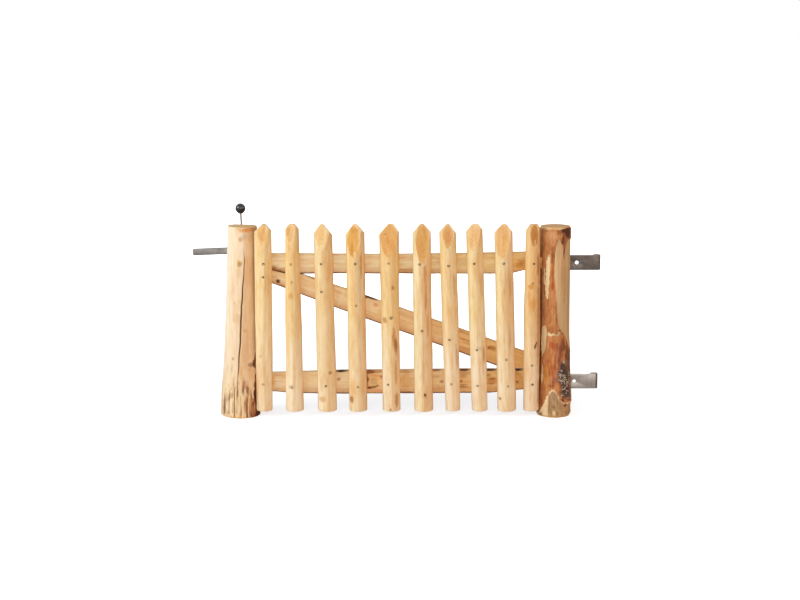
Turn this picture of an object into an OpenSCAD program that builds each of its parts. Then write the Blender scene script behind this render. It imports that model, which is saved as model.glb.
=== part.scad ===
// Picket fence gate leaf of split and round chestnut, with two strap hinges and a drop latch.
// The hinge axis is the Z axis and the underside of the lower hinge eye is at z = 0.
// The front of the gate faces -Y, and the latch end is towards -X.

/* [Gate leaf] */
// Distance between the axes of the two posts at their feet
leaf_span = 1372; // [1252:4:1600]
// Height of both posts
post_height = 832; // [800:4:900]
// Length of a picket from its foot to its point
picket_length = 817; // [777:5:837]
// Gap between the level of the post feet and the feet of the pickets
picket_foot_gap = 30; // [15:1:45]

/* [Posts] */
// Radius of the latch post below its top
latch_post_radius = 66; // [62:1:69]
// Radius of the hinge post below its top
hinge_post_radius = 67; // [62:1:70]
// Lean of the latch post towards the hinges, in degrees
latch_post_lean = 1.5; // [0:0.1:2]
// Lean of the hinge post, in degrees
hinge_post_lean = -0.4; // [-1:0.1:0]

/* [Rails and brace] */
// Radius of the half log of the top rail
top_rail_radius = 45.5; // [39:0.5:47]
// Height of the middle of the top rail above the post feet
top_rail_height = 675; // [660:1:690]
// Radius of the half log of the bottom rail
bottom_rail_radius = 55; // [47:0.5:56]
// Height of the middle of the bottom rail above the post feet
bottom_rail_height = 152; // [145:1:165]
// Radius of the half log of the brace at its thick end
brace_radius = 51; // [42:0.5:53]

/* [Pickets] */
// Greatest width of the common picket
picket_width = 80; // [68:1:82]
// Thickness left at the point of the thinnest picket
tip_thickness = 10; // [6:0.5:12]

/* [Strap hinges] */
// Height of a hinge strap
strap_height = 66; // [50:1:72]
// Thickness of a hinge strap
strap_thickness = 7; // [5:0.5:8]
// Radius of the hole in a hinge eye
eye_bore_radius = 10; // [8:0.5:12]
// Distance from the hinge post's axis to the hinge axis
hinge_reach = 184; // [166:1:212]
// Height of the lower strap above the post feet
lower_strap_height = 100; // [90:1:110]
// Distance between the two straps, underside to underside
strap_spacing = 530; // [500:5:550]
// Radius of the spare bolt hole in a strap
spare_hole_radius = 8; // [5:0.5:9]

/* [Latch] */
// Height of the latch bar
bar_height = 30; // [22:1:32]
// Thickness of the latch bar
bar_thickness = 8; // [8:0.5:10]
// Length of the latch bar from its pivot to its tip
bar_reach = 244; // [200:2:280]
// Distance from the top of the latch post down to the latch pivot
pivot_drop = 113; // [108:1:130]
// How far the latch lifts, in degrees
latch_lift = 30; // [20:1:32]
// Radius of the ball knob
knob_radius = 22; // [16:0.5:24]
// Radius of the rod that carries the knob
rod_radius = 4; // [3:0.5:4]
// How far the knob's neck stands above the top of the latch post
knob_rise = 43; // [20:1:60]

/* [Hidden] */

$fn = 64;
fit = 0.3;
reach_past = 1;
far = 400;

// Posts: stations up the post as parts of its height, and girth there as parts of its radius
post_stations = [0, 0.118, 0.265, 0.344, 0.61, 0.874, 0.95, 0.993, 1];
latch_post_girth = [1.32, 1.31, 1.2, 1.16, 1.06, 1, 0.99, 0.96, 0.92];
hinge_post_girth = [1.22, 1.17, 1.07, 1.035, 1.01, 1.005, 1, 0.99, 0.965];
foot_spare = 12;

// Planes across the gate, from the hinge axis forwards
eye_radius = eye_bore_radius + strap_thickness;
hinge_seat_depth = 55;
latch_seat_depth = 48;
seat_margin = 14;
post_y = -eye_radius - hinge_seat_depth;
picket_plane_depth = 45;
picket_plane_y = post_y - picket_plane_depth;
latch_seat_y = post_y + latch_seat_depth;
ground_z = -lower_strap_height;
hinge_post_x = -hinge_reach;
latch_post_x = hinge_post_x - leaf_span;

// Rails: stations along the rail as parts of its span, and girth there as parts of its radius
rail_stations = [0, 0.03, 0.09, 0.3, 0.5, 0.74, 0.93, 0.97, 1];
top_rail_girth = [0.98, 1.01, 1.02, 0.95, 0.96, 1.02, 1.15, 1.17, 1.13];
bottom_rail_girth = [0.8, 0.84, 0.87, 0.97, 0.98, 0.99, 0.97, 0.975, 0.95];
top_hewn_start = 125;
top_hewn_slope = 14;
bottom_hewn_start = 200;
bottom_hewn_slope = 5.5;
bottom_rail_rise = 0.45;
rail_post_gap = 6;
tenon_height = 50;
tenon_thickness = 26;
tenon_length = 64;
tenon_setback = 14;
top_rail_z = ground_z + top_rail_height;
bottom_rail_z = ground_z + bottom_rail_height;
post_swell = 1.06;
rail_start_x = latch_post_x + tan(latch_post_lean) * top_rail_height
    + latch_post_radius * post_swell + rail_post_gap;
rail_end_x = hinge_post_x - hinge_post_radius * post_swell - rail_post_gap;
rail_span = rail_end_x - rail_start_x;
low_rail_start_x = latch_post_x + latch_post_radius * latch_post_girth[1] + rail_post_gap;
low_rail_end_x = hinge_post_x - hinge_post_radius * hinge_post_girth[1] - rail_post_gap;
low_rail_span = low_rail_end_x - low_rail_start_x;

// Brace: its axis crosses the leaf from high at the latch post to low at the hinge post
brace_top_drop = 22;
brace_foot_rise = 65;
brace_post_gap = 4;
brace_stations = [0, 0.3, 1];
brace_girth = [0.78, 0.94, 1.02];
brace_start_x = rail_start_x;
brace_end_x = rail_end_x;
brace_start_z = top_rail_z - brace_top_drop;
brace_end_z = bottom_rail_z + brace_foot_rise;
brace_slope = atan((brace_start_z - brace_end_z) / (brace_end_x - brace_start_x));
brace_length = (brace_end_x - brace_start_x) / cos(brace_slope);

// Pickets, one value for each from the latch end. The shift along the rails is a part of the pitch, the
// girths are parts of half the width, and the bevels and the facet are parts of the whole width.
picket_first = 109;
picket_last = 102.6;
picket_count = 10;
picket_pitch = (leaf_span - picket_first - picket_last) / (picket_count - 1);
picket_shift = [0, 0.023, 0.132, 0.171, 0.295, 0.38, 0.365, 0.279, 0.186, 0];
picket_lean = [0.4, -0.17, -1.03, -0.82, -0.77, -0.87, -2.08, -2.33, -1.79, -0.3];
picket_stations = [0, 0.5, 1];
foot_girth = [0.89, 0.98, 1.05, 1, 0.98, 1.04, 0.81, 0.87, 1.03, 0.84];
middle_girth = [0.96, 0.9, 1.04, 0.99, 1, 1.02, 0.92, 0.91, 1.02, 0.91];
top_girth = [0.94, 0.76, 1, 1.05, 1.08, 1, 0.91, 0.9, 0.98, 0.74];
tip_left = [0.025, 0.163, 0.113, 0.062, 0.025, 0.087, 0.062, 0.113, 0.05, 0.138];
tip_right = [0.138, 0.175, 0.05, 0.113, 0.237, 0.125, 0.113, 0.237, 0.163, 0.263];
left_drop = [0.438, 0.275, 0.5, 0.588, 0.562, 0.5, 0.438, 0.388, 0.438, 0.325];
right_drop = [0.362, 0.287, 0.6, 0.5, 0.45, 0.438, 0.5, 0.338, 0.45, 0.225];
tip_girth = [2.5, 1.9, 1.3, 1, 1, 1.5, 2.1, 1.3, 1.1, 2];
facet_drop = [1.25, 1.375, 1.375, 1.875, 1.812, 2.188, 1.4, 1.375, 1.875, 1.188];
facet_turn = [3, -12, -14, -16, -5, 6, 4, -14, -12, 9];
picket_foot_z = ground_z + picket_foot_gap;
rebate_gap = 4;
rebate_top = 0.5;

// Straps
strap_tail = 45;
spare_hole_x = -88;
seam_width = 1;
seam_depth = 6;

// Latch
pivot_height = post_height - pivot_drop;
latch_x = latch_post_x + tan(latch_post_lean) * pivot_height;
pivot_offset = 24;
guide_arm = 60;
rod_arm = 26;
bar_tail = 17;
latch_tilt = 2.3;
bar_gap = 5;
pivot_radius = 5;
pivot_play = 0.08;
pivot_depth = 40;
pivot_head_radius = 9.5;
pivot_head_height = 7;
spacer_radius = 10;
rod_socket = 12;
rod_length = pivot_drop - bar_height / 2 + knob_rise + rod_socket;
knob_neck_radius = 8;
knob_neck_height = 9;
guide_width = 20;
guide_thickness = 4;
guide_foot = 22;
pivot_x = latch_x + pivot_offset;
pivot_z = ground_z + pivot_height;
bar_front_y = latch_seat_y + bar_gap;
bar_back_y = bar_front_y + bar_thickness;
guide_rest_z = pivot_z - (guide_arm + guide_width / 2) * tan(latch_tilt)
    - bar_height / 2 / cos(latch_tilt) - fit;
guide_stop_angle = latch_lift - latch_tilt;
guide_stop_z = pivot_z + (guide_arm + guide_width / 2) * tan(guide_stop_angle)
    + bar_height / 2 / cos(guide_stop_angle) + reach_past;

bark = [0.38, 0.25, 0.2];
peeled = [0.86, 0.7, 0.5];
pale = [0.95, 0.82, 0.58];
zinc = [0.45, 0.43, 0.42];
black = [0.05, 0.05, 0.05];

// A log turned up the Z axis from its girth at each station, with a spare length below its foot
module log_along_z(length, radius, stations, girth, spare = 0) {
    last = len(stations) - 1;
    foot = spare > 0 ? [[0, -spare], [girth[0] * radius, -spare]] : [[0, 0]];
    rotate_extrude()
        polygon(concat(
            foot,
            [for (i = [0:last]) [girth[i] * radius, stations[i] * length]],
            [[0, stations[last] * length]]
        ));
}

// A round post that stands on its foot, leaning a little, with the foot sawn level
module post_log(x, lean, radius, girth) {
    difference() {
        translate([x, post_y, ground_z]) rotate([0, lean, 0])
            log_along_z(post_height, radius, post_stations, girth, foot_spare);
        translate([x - far, post_y - far, ground_z - far]) cube([2 * far, 2 * far, far]);
    }
}

// A half log laid along X with its flat face to the front, in the plane of the picket backs
module half_log(x, z, tilt, length, radius, stations, girth) {
    translate([x, picket_plane_y, z]) rotate([0, tilt, 0]) difference() {
        rotate([0, 90, 0]) log_along_z(length, radius, stations, girth);
        translate([-far, -far, -far]) cube([length + 2 * far, far, 2 * far]);
    }
}

// The two tenons of a rail, or with a play the mortises that they go into
module tenons(start_x, z, tilt, span, play) {
    translate([start_x, picket_plane_y + tenon_setback, z]) rotate([0, tilt, 0])
        translate([-tenon_length - play, -play, -tenon_height / 2 - play])
            cube([span + 2 * tenon_length + 2 * play, tenon_thickness + 2 * play, tenon_height + 2 * play]);
}

// What the axe takes off below a rail: all under its level underside, and more towards each tenon.
// It starts at the end of the rail. A play lowers or raises it: the brace is fitted to it with a little less.
module under_rail(span, radius, start, slope, play = 0) {
    line = hewn_line(radius, start, slope);
    near = [for (point = line) [point[0], point[1] + play]];
    away = [for (i = [len(line) - 1:-1:0]) [span - line[i][0], line[i][1] + play]];
    translate([0, far, 0]) rotate([90, 0, 0]) linear_extrude(2 * far)
        polygon(concat(near, away, [[span + reach_past, -2 * far], [-reach_past, -2 * far]]));
}

// The hewn underside at one end of a rail, from the tenon in: level where it has met the tenon, then down the slope
function hewn_line(radius, start, slope) =
    let (level_start = start - (radius - tenon_height / 2) / tan(slope))
    level_start > 0
        ? [[-reach_past, -tenon_height / 2], [level_start, -tenon_height / 2], [start, -radius]]
        : [[-reach_past, (start + reach_past) * tan(slope) - radius], [start, -radius]];

module top_rail_log() {
    difference() {
        half_log(rail_start_x, top_rail_z, 0, rail_span, top_rail_radius, rail_stations, top_rail_girth);
        translate([rail_start_x, picket_plane_y, top_rail_z])
            under_rail(rail_span, top_rail_radius, top_hewn_start, top_hewn_slope);
    }
}

module bottom_rail_log() {
    difference() {
        half_log(low_rail_start_x, bottom_rail_z, -bottom_rail_rise, low_rail_span,
            bottom_rail_radius, rail_stations, bottom_rail_girth);
        translate([low_rail_start_x, picket_plane_y, bottom_rail_z]) rotate([0, -bottom_rail_rise, 0])
            under_rail(low_rail_span, bottom_rail_radius, bottom_hewn_start, bottom_hewn_slope);
    }
}

module top_tenons(play) {
    tenons(rail_start_x, top_rail_z, 0, rail_span, play);
}

module bottom_tenons(play) {
    tenons(low_rail_start_x, bottom_rail_z, -bottom_rail_rise, low_rail_span, play);
}

module latch_post() {
    color(peeled) difference() {
        post_log(latch_post_x, latch_post_lean, latch_post_radius, latch_post_girth);
        top_tenons(fit);
        bottom_tenons(fit);
        // Hewn flat for the latch, from above the middle to the top
        translate([latch_x - far, latch_seat_y, pivot_z - pivot_height / 4]) cube([2 * far, far, far]);
        // Hewn rebate where the first picket lies over the thick foot
        translate([picket_left_x(0) - rebate_gap, picket_plane_y - far, ground_z - reach_past])
            cube([far, far + fit, post_height * rebate_top]);
        // Bolt hole of the latch pivot
        translate([pivot_x, latch_seat_y - pivot_depth, pivot_z]) rotate([-90, 0, 0])
            cylinder(h = far, r = pivot_radius + pivot_play);
    }
}

module hinge_post() {
    color(bark) difference() {
        post_log(hinge_post_x, hinge_post_lean, hinge_post_radius, hinge_post_girth);
        top_tenons(fit);
        bottom_tenons(fit);
        // Hewn seats for the two straps
        for (z = [0, strap_spacing])
            translate([hinge_post_x - far, post_y + hinge_seat_depth, z - seat_margin])
                cube([2 * far, far, strap_height + 2 * seat_margin]);
        // Hewn rebate where the last picket lies over the thick foot
        translate([picket_right_x(picket_count - 1) + rebate_gap - far, picket_plane_y - far, ground_z - reach_past])
            cube([far, far + fit, post_height * rebate_top]);
    }
}

module top_rail() {
    color(peeled) union() {
        top_rail_log();
        intersection() {
            top_tenons(0);
            union() {
                translate([rail_start_x - far, post_y - far, top_rail_z - far])
                    cube([far + reach_past, 2 * far, 2 * far]);
                translate([rail_end_x - reach_past, post_y - far, top_rail_z - far])
                    cube([far, 2 * far, 2 * far]);
            }
        }
    }
}

module bottom_rail() {
    color(peeled) union() {
        bottom_rail_log();
        intersection() {
            bottom_tenons(0);
            union() {
                translate([low_rail_start_x - far, post_y - far, bottom_rail_z - far])
                    cube([far + reach_past, 2 * far, 2 * far]);
                translate([low_rail_end_x - reach_past, post_y - far, bottom_rail_z - far])
                    cube([far, 2 * far, 2 * far]);
            }
        }
    }
}

module brace() {
    color(peeled) difference() {
        // Upper end hewn to the underside of the top rail
        intersection() {
            half_log(brace_start_x, brace_start_z, brace_slope, brace_length,
                brace_radius, brace_stations, brace_girth);
            translate([rail_start_x, picket_plane_y, top_rail_z])
                under_rail(rail_span, top_rail_radius, top_hewn_start, top_hewn_slope, -fit);
        }
        // Lower end sawn to the bottom rail
        translate([low_rail_start_x, picket_plane_y, bottom_rail_z]) rotate([0, -bottom_rail_rise, 0])
            translate([0, -far, bottom_rail_radius + fit - far]) cube([leaf_span, 2 * far, far]);
        // Ends sawn to the posts
        translate([brace_start_x - far, picket_plane_y - far, ground_z]) cube([far, 2 * far, post_height]);
        translate([brace_end_x - brace_post_gap, picket_plane_y - far, ground_z])
            cube([far, 2 * far, post_height]);
    }
}

function picket_x(i) = latch_post_x + picket_first + (i + picket_shift[i]) * picket_pitch;
function picket_left_x(i) = picket_x(i) - picket_width * foot_girth[i] / 2;
function picket_right_x(i) = picket_x(i) + picket_width * foot_girth[i] / 2;

// A half-round stave with its flat to the rails, pointed with an axe: a bevel on each side and a
// long facet down the front, turned a little to the side that the blow came from
module picket(i) {
    radius = picket_width / 2;
    top_radius = radius * top_girth[i];
    thickness = tip_thickness * tip_girth[i];
    left = picket_width * tip_left[i];
    right = picket_width * tip_right[i];
    left_bevel = atan((top_radius - left) / (picket_width * left_drop[i]));
    right_bevel = atan((top_radius - right) / (picket_width * right_drop[i]));
    facet = atan((top_radius - thickness) / (picket_width * facet_drop[i]));
    girth = [foot_girth[i], middle_girth[i], top_girth[i]];
    color(pale)
    translate([picket_x(i), picket_plane_y, picket_foot_z]) rotate([0, picket_lean[i], 0]) difference() {
        log_along_z(picket_length, radius, picket_stations, girth);
        translate([-far, 0, -far]) cube([2 * far, far, picket_length + 2 * far]);
        translate([-left, 0, picket_length]) rotate([0, left_bevel, 0])
            translate([-far, -far, -far]) cube([far, 2 * far, 2 * far]);
        translate([right, 0, picket_length]) rotate([0, -right_bevel, 0])
            translate([0, -far, -far]) cube([far, 2 * far, 2 * far]);
        translate([0, -thickness, picket_length]) rotate([-facet, 0, facet_turn[i]])
            translate([-far, -far, -far]) cube([2 * far, far, 2 * far]);
    }
}

// A flat strap whose end is rolled back into an eye for the hinge pin
module strap_hinge(z) {
    color(zinc) translate([0, 0, z]) difference() {
        union() {
            translate([-hinge_reach - strap_tail, -eye_radius, 0])
                cube([hinge_reach + strap_tail, strap_thickness, strap_height]);
            cylinder(h = strap_height, r = eye_radius);
        }
        translate([0, 0, -reach_past]) cylinder(h = strap_height + 2 * reach_past, r = eye_bore_radius);
        // Seam where the rolled end meets the back of the strap
        translate([-eye_radius, strap_thickness - eye_radius, -reach_past])
            cube([seam_depth, seam_width, strap_height + 2 * reach_past]);
        translate([spare_hole_x, 0, strap_height / 2]) rotate([90, 0, 0])
            cylinder(h = far, r = spare_hole_radius);
    }
}

// Places a piece that turns with the latch: its local origin is on the pivot
module on_latch() {
    translate([pivot_x, bar_front_y, pivot_z]) rotate([0, -latch_tilt, 0]) children();
}

module latch_bar() {
    color(zinc) on_latch() difference() {
        union() {
            translate([-bar_reach, 0, -bar_height / 2]) cube([bar_reach, bar_thickness, bar_height]);
            rotate([-90, 0, 0]) cylinder(h = bar_thickness, r = bar_height / 2);
        }
        translate([0, -reach_past, 0]) rotate([-90, 0, 0])
            cylinder(h = bar_thickness + 2 * reach_past, r = pivot_radius + pivot_play);
    }
}

module latch_rod() {
    color(zinc) on_latch() translate([-rod_arm, bar_thickness / 2, bar_height / 2])
        cylinder(h = rod_length, r = rod_radius);
}

module ball_knob() {
    knob_base = rod_length - rod_socket;
    color(black) on_latch() translate([-rod_arm, bar_thickness / 2, bar_height / 2 + knob_base])
        difference() {
            union() {
                cylinder(h = knob_neck_height, r1 = knob_neck_radius, r2 = knob_neck_radius * 1.5);
                translate([0, 0, knob_neck_height / 2 + knob_radius]) sphere(r = knob_radius);
            }
            translate([0, 0, -reach_past])
                cylinder(h = rod_socket + reach_past + fit, r = rod_radius + fit);
        }
}

module latch_pivot_bolt() {
    color(zinc) translate([pivot_x, latch_seat_y, pivot_z]) rotate([-90, 0, 0]) {
        translate([0, 0, fit - pivot_depth])
            cylinder(h = pivot_depth + bar_gap + bar_thickness, r = pivot_radius);
        translate([0, 0, bar_gap + bar_thickness + fit])
            cylinder(h = pivot_head_height, r = pivot_head_radius, $fn = 6);
    }
}

module latch_spacer() {
    color(zinc) translate([pivot_x, latch_seat_y, pivot_z]) rotate([-90, 0, 0]) difference() {
        cylinder(h = bar_gap - fit, r = spacer_radius);
        translate([0, 0, -reach_past]) cylinder(h = bar_gap + 2 * reach_past, r = pivot_radius + pivot_play);
    }
}

// A bent strap that holds the bar to the post and stops it at both ends of its travel
module latch_guide() {
    depth = bar_gap + bar_thickness + bar_gap + guide_thickness;
    color(zinc) translate([pivot_x - guide_arm - guide_width / 2, latch_seat_y, 0]) {
        translate([0, 0, guide_rest_z - guide_thickness - guide_foot])
            cube([guide_width, guide_thickness, guide_foot + guide_thickness]);
        translate([0, 0, guide_rest_z - guide_thickness]) cube([guide_width, depth, guide_thickness]);
        translate([0, depth - guide_thickness, guide_rest_z - guide_thickness])
            cube([guide_width, guide_thickness, guide_stop_z - guide_rest_z + 2 * guide_thickness]);
        translate([0, 0, guide_stop_z]) cube([guide_width, depth, guide_thickness]);
        translate([0, 0, guide_stop_z]) cube([guide_width, guide_thickness, guide_foot + guide_thickness]);
    }
}

latch_post();
hinge_post();
top_rail();
bottom_rail();
brace();
picket(0);  // picket_01
picket(1);  // picket_02
picket(2);  // picket_03
picket(3);  // picket_04
picket(4);  // picket_05
picket(5);  // picket_06
picket(6);  // picket_07
picket(7);  // picket_08
picket(8);  // picket_09
picket(9);  // picket_10
strap_hinge(strap_spacing);  // upper_strap_hinge
strap_hinge(0);  // lower_strap_hinge
latch_bar();
latch_rod();
ball_knob();
latch_pivot_bolt();
latch_spacer();
latch_guide();
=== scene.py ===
import bmesh
import bpy
import math
from mathutils import Matrix, Vector, noise


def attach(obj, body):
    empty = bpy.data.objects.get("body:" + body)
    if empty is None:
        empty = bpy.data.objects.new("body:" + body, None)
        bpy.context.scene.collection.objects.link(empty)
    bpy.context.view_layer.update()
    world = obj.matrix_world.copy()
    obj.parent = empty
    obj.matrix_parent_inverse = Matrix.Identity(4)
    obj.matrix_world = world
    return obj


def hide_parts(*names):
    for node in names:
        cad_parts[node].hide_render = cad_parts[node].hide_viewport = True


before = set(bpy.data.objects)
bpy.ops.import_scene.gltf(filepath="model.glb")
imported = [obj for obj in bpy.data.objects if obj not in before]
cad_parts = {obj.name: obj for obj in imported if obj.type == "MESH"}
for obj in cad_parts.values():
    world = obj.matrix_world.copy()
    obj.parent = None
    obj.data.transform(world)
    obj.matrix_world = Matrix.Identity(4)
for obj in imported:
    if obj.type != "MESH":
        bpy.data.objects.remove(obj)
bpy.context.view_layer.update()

# ---- The studio
# The camera stands six metres in front of the gate at eye height and looks down at it. A large soft lamp
# stands at the left, a weaker warm one at the right and a third beside the camera. The room is white.
gate_middle = Vector((-0.857, -0.1, 0.35))
bpy.ops.object.select_all(action="DESELECT")
bpy.ops.object.camera_add(location=(-0.857, -6.2476, 1.5524), rotation=(math.radians(79.5), 0, 0))
camera = bpy.context.object
camera.name = "camera"
camera.data.lens = 65.25
camera.data.sensor_width = 36
bpy.context.scene.camera = camera
bpy.context.scene.view_settings.view_transform = "Standard"


def linear(code):
    """The linear colour of an sRGB hex code."""
    parts = [int(code[i:i + 2], 16) / 255 for i in (0, 2, 4)]
    return [p / 12.92 if p <= 0.04045 else ((p + 0.055) / 1.055) ** 2.4 for p in parts] + [1]


def add_node(owner, kind, settings=None, values=None, links=None, stops=None):
    """Adds a node: its settings, its sockets' values, what feeds them, and the stops of a colour ramp.
    What feeds a socket is another socket, or a node for the first output that it has in use."""
    made = owner.node_tree.nodes.new("ShaderNode" + kind)
    for key, value in (settings or {}).items():
        setattr(made, key, value)
    for key, value in (values or {}).items():
        made.inputs[key].default_value = value
    for key, source in (links or {}).items():
        if isinstance(source, bpy.types.Node):
            source = next(output for output in source.outputs if output.enabled)
        owner.node_tree.links.new(source, made.inputs[key])
    for number, (place, code) in enumerate(stops or []):
        ramp = made.color_ramp.elements
        stop = ramp[number] if number < 2 else ramp.new(place)
        stop.position = place
        stop.color = linear(code)
    return made


def new_finish(name, values=None):
    """A new material and its shader, some of whose sockets have these values."""
    made = bpy.data.materials.new(name)
    made.use_nodes = True
    shader = made.node_tree.nodes["Principled BSDF"]
    for key, value in (values or {}).items():
        shader.inputs[key].default_value = value
    return made, shader


def lamp(name, towards, far, power, size, colour):
    """A square soft lamp that stands that far from the gate and shines at it."""
    bpy.ops.object.light_add(type="AREA", location=gate_middle + Vector(towards).normalized() * far)
    made = bpy.context.object
    made.name = name
    made.rotation_euler = (made.location - gate_middle).to_track_quat("Z", "Y").to_euler()
    made.data.energy = power
    made.data.size = size
    made.data.color = linear(colour)[:3]


lamp("soft_lamp_left", (-0.82, -0.40, 0.40), 6.5, 235, 3.6, "FCFDFF")
lamp("warm_lamp_right", (0.75, -0.6, 0.28), 6, 96, 4, "FFC795")
lamp("front_lamp", (-0.05, -1, 0.30), 7, 112, 3, "F8FAFF")

room = bpy.data.worlds.new("white_room")
bpy.context.scene.world = room
room.use_nodes = True
ray = add_node(room, "LightPath")
seen = add_node(room, "Math", {"operation": "MAXIMUM"},
                links={0: ray.outputs["Is Camera Ray"], 1: ray.outputs["Is Glossy Ray"]})
white = add_node(room, "Background", values={"Color": linear("FFFFFF"), "Strength": 1})
soft = room.node_tree.nodes["Background"]
soft.inputs["Color"].default_value = linear("EEF4FF")
soft.inputs["Strength"].default_value = 0.24
both = add_node(room, "MixShader", links={0: seen, 1: soft, 2: white})
room.node_tree.links.new(both.outputs[0], room.node_tree.nodes["World Output"].inputs["Surface"])

bpy.ops.mesh.primitive_plane_add(size=40, location=(-0.857, 0, -0.1))
floor = bpy.context.object
floor.name = "floor"
floor_paint, floor_shader = new_finish("white_floor_paint", {
    "Base Color": linear("F2F2F2"), "Roughness": 0.9, "Specular IOR Level": 0,
    "Emission Color": linear("D6D7D8")})
# The floor pales to white away from the gate, so that only the shadow round its foot is left
floor_place = add_node(floor_paint, "TexCoord").outputs["Object"]
from_gate = add_node(floor_paint, "VectorMath", {"operation": "LENGTH"}, links={0: floor_place})
paling = add_node(floor_paint, "MapRange", values={1: 0.75, 2: 2.4, 3: 1, 4: 2.4}, links={0: from_gate})
floor_ray = add_node(floor_paint, "LightPath")
paled = add_node(floor_paint, "Math", {"operation": "MULTIPLY"},
                 links={0: floor_ray.outputs["Is Camera Ray"], 1: paling})
floor_paint.node_tree.links.new(paled.outputs[0], floor_shader.inputs["Emission Strength"])
floor.data.materials.append(floor_paint)

# ---- The latch post
# A round post of sweet chestnut, peeled with a spud and dried, so that one long split has opened down its
# front. Its swollen foot keeps the frayed flutes of the root, and some bark beside the first picket.
post_height = 0.832
post_y = -0.072
ground_z = -0.1
post_stations = [0, 0.118, 0.265, 0.344, 0.61, 0.874, 0.95, 0.993, 1]


def girth_at(part, stations, girths):
    """The girth of a log at a part of its length, run smoothly through the girths measured on it."""
    for k in range(len(stations) - 1):
        if part <= stations[k + 1] or k == len(stations) - 2:
            share = max(0, min(1, (part - stations[k]) / (stations[k + 1] - stations[k])))
            return girths[k] + (girths[k + 1] - girths[k]) * share


def cylinder(name, sides, radius, length, middle=(0, 0, 0), turn=(0, 0, 0)):
    """A cylinder round a middle, up the Z axis unless it is turned, with its place and turn in its mesh."""
    bpy.ops.object.select_all(action="DESELECT")
    bpy.ops.mesh.primitive_cylinder_add(
        vertices=sides, radius=radius, depth=length, location=middle, rotation=turn)
    made = bpy.context.object
    made.name = name
    bpy.ops.object.transform_apply(location=True, rotation=True, scale=True)
    return made


def round_log(name, radius, length, sides, cuts):
    """A straight log up the Z axis with its foot at the origin, ringed by edges every few millimetres."""
    log = cylinder(name, sides, radius, length, (0, 0, length / 2))
    bpy.ops.object.mode_set(mode="EDIT")
    bpy.ops.mesh.select_mode(type="EDGE")
    for number in cuts:
        bpy.ops.mesh.select_all(action="DESELECT")
        shape = bmesh.from_edit_mesh(log.data)
        for edge in shape.edges:
            edge.select_set(abs(edge.verts[0].co.z - edge.verts[1].co.z) > 0.0001)
        bmesh.update_edit_mesh(log.data)
        bpy.ops.mesh.subdivide(number_cuts=number)
    bpy.ops.object.mode_set(mode="OBJECT")
    return log


def shape_points(piece, shape):
    """Moves each point of a piece to where the shape puts it."""
    for point in piece.data.vertices:
        point.co = shape(point.co.x, point.co.y, point.co.z)
    piece.data.update()


def write_points(piece, name, kind, value):
    """Keeps on each point of a piece what value makes of its place."""
    layer = piece.data.attributes.new(name, kind, "POINT")
    field = {"FLOAT": "value", "FLOAT_VECTOR": "vector", "FLOAT_COLOR": "color"}[kind]
    for point, entry in zip(piece.data.vertices, layer.data):
        setattr(entry, field, value(point.co.x, point.co.y, point.co.z))


def rise(low, high, x):
    """0 below low, 1 above high, and a smooth climb between."""
    t = max(0, min(1, (x - low) / (high - low)))
    return t * t * (3 - 2 * t)


def ripple(a, b, c):
    """Smooth noise from -1 to 1."""
    return noise.noise(Vector((a, b, c)))


def blend(first, second, share):
    """The first colour, turned into the second by a share from 0 to 1."""
    return [a + (b - a) * share for a, b in zip(first, second)]


def laid(colour, spots, across, along):
    """A colour with ragged spots laid over it, each given by its middle, half size, colour and strength."""
    for middle, place, half_across, half_along, code, strength in spots:
        away = math.hypot((across - middle) / half_across, (along - place) / half_along)
        if away < 1.6:
            away += 0.3 * ripple(across * 0.11 + middle, along * 0.05, place)
            colour = blend(colour, linear(code), strength * (1 - rise(0.45, 1.15, away)))
    return colour


def nearest_knot(knots, across, along):
    """How far the nearest knot is, as a part of that knot's own size."""
    return min([3] + [math.hypot((across - k[0]) / k[2], (along - k[1]) / k[3]) for k in knots])


def hold(piece):
    """Makes this the one piece that is being worked on."""
    bpy.ops.object.select_all(action="DESELECT")
    piece.select_set(True)
    bpy.context.view_layer.objects.active = piece


def put(piece, place, turn):
    """Turns a piece, stands it at its place and keeps both in its mesh."""
    hold(piece)
    piece.rotation_euler = turn
    piece.location = place
    bpy.ops.object.transform_apply(location=True, rotation=True, scale=True)


def smooth(piece, degrees):
    """Smooth shading, with the edges sharper than that left crisp."""
    hold(piece)
    bpy.ops.object.shade_smooth_by_angle(angle=math.radians(degrees))


# Settings of nodes: a colour multiplied by another, one laid over another, a range with eased ends, and a
# place stretched along the grain
tinted = {"data_type": "RGBA", "blend_type": "MULTIPLY"}
laid_over = {"data_type": "RGBA"}
eased = {"interpolation_type": "SMOOTHSTEP"}
stretched = {"operation": "MULTIPLY"}


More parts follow.
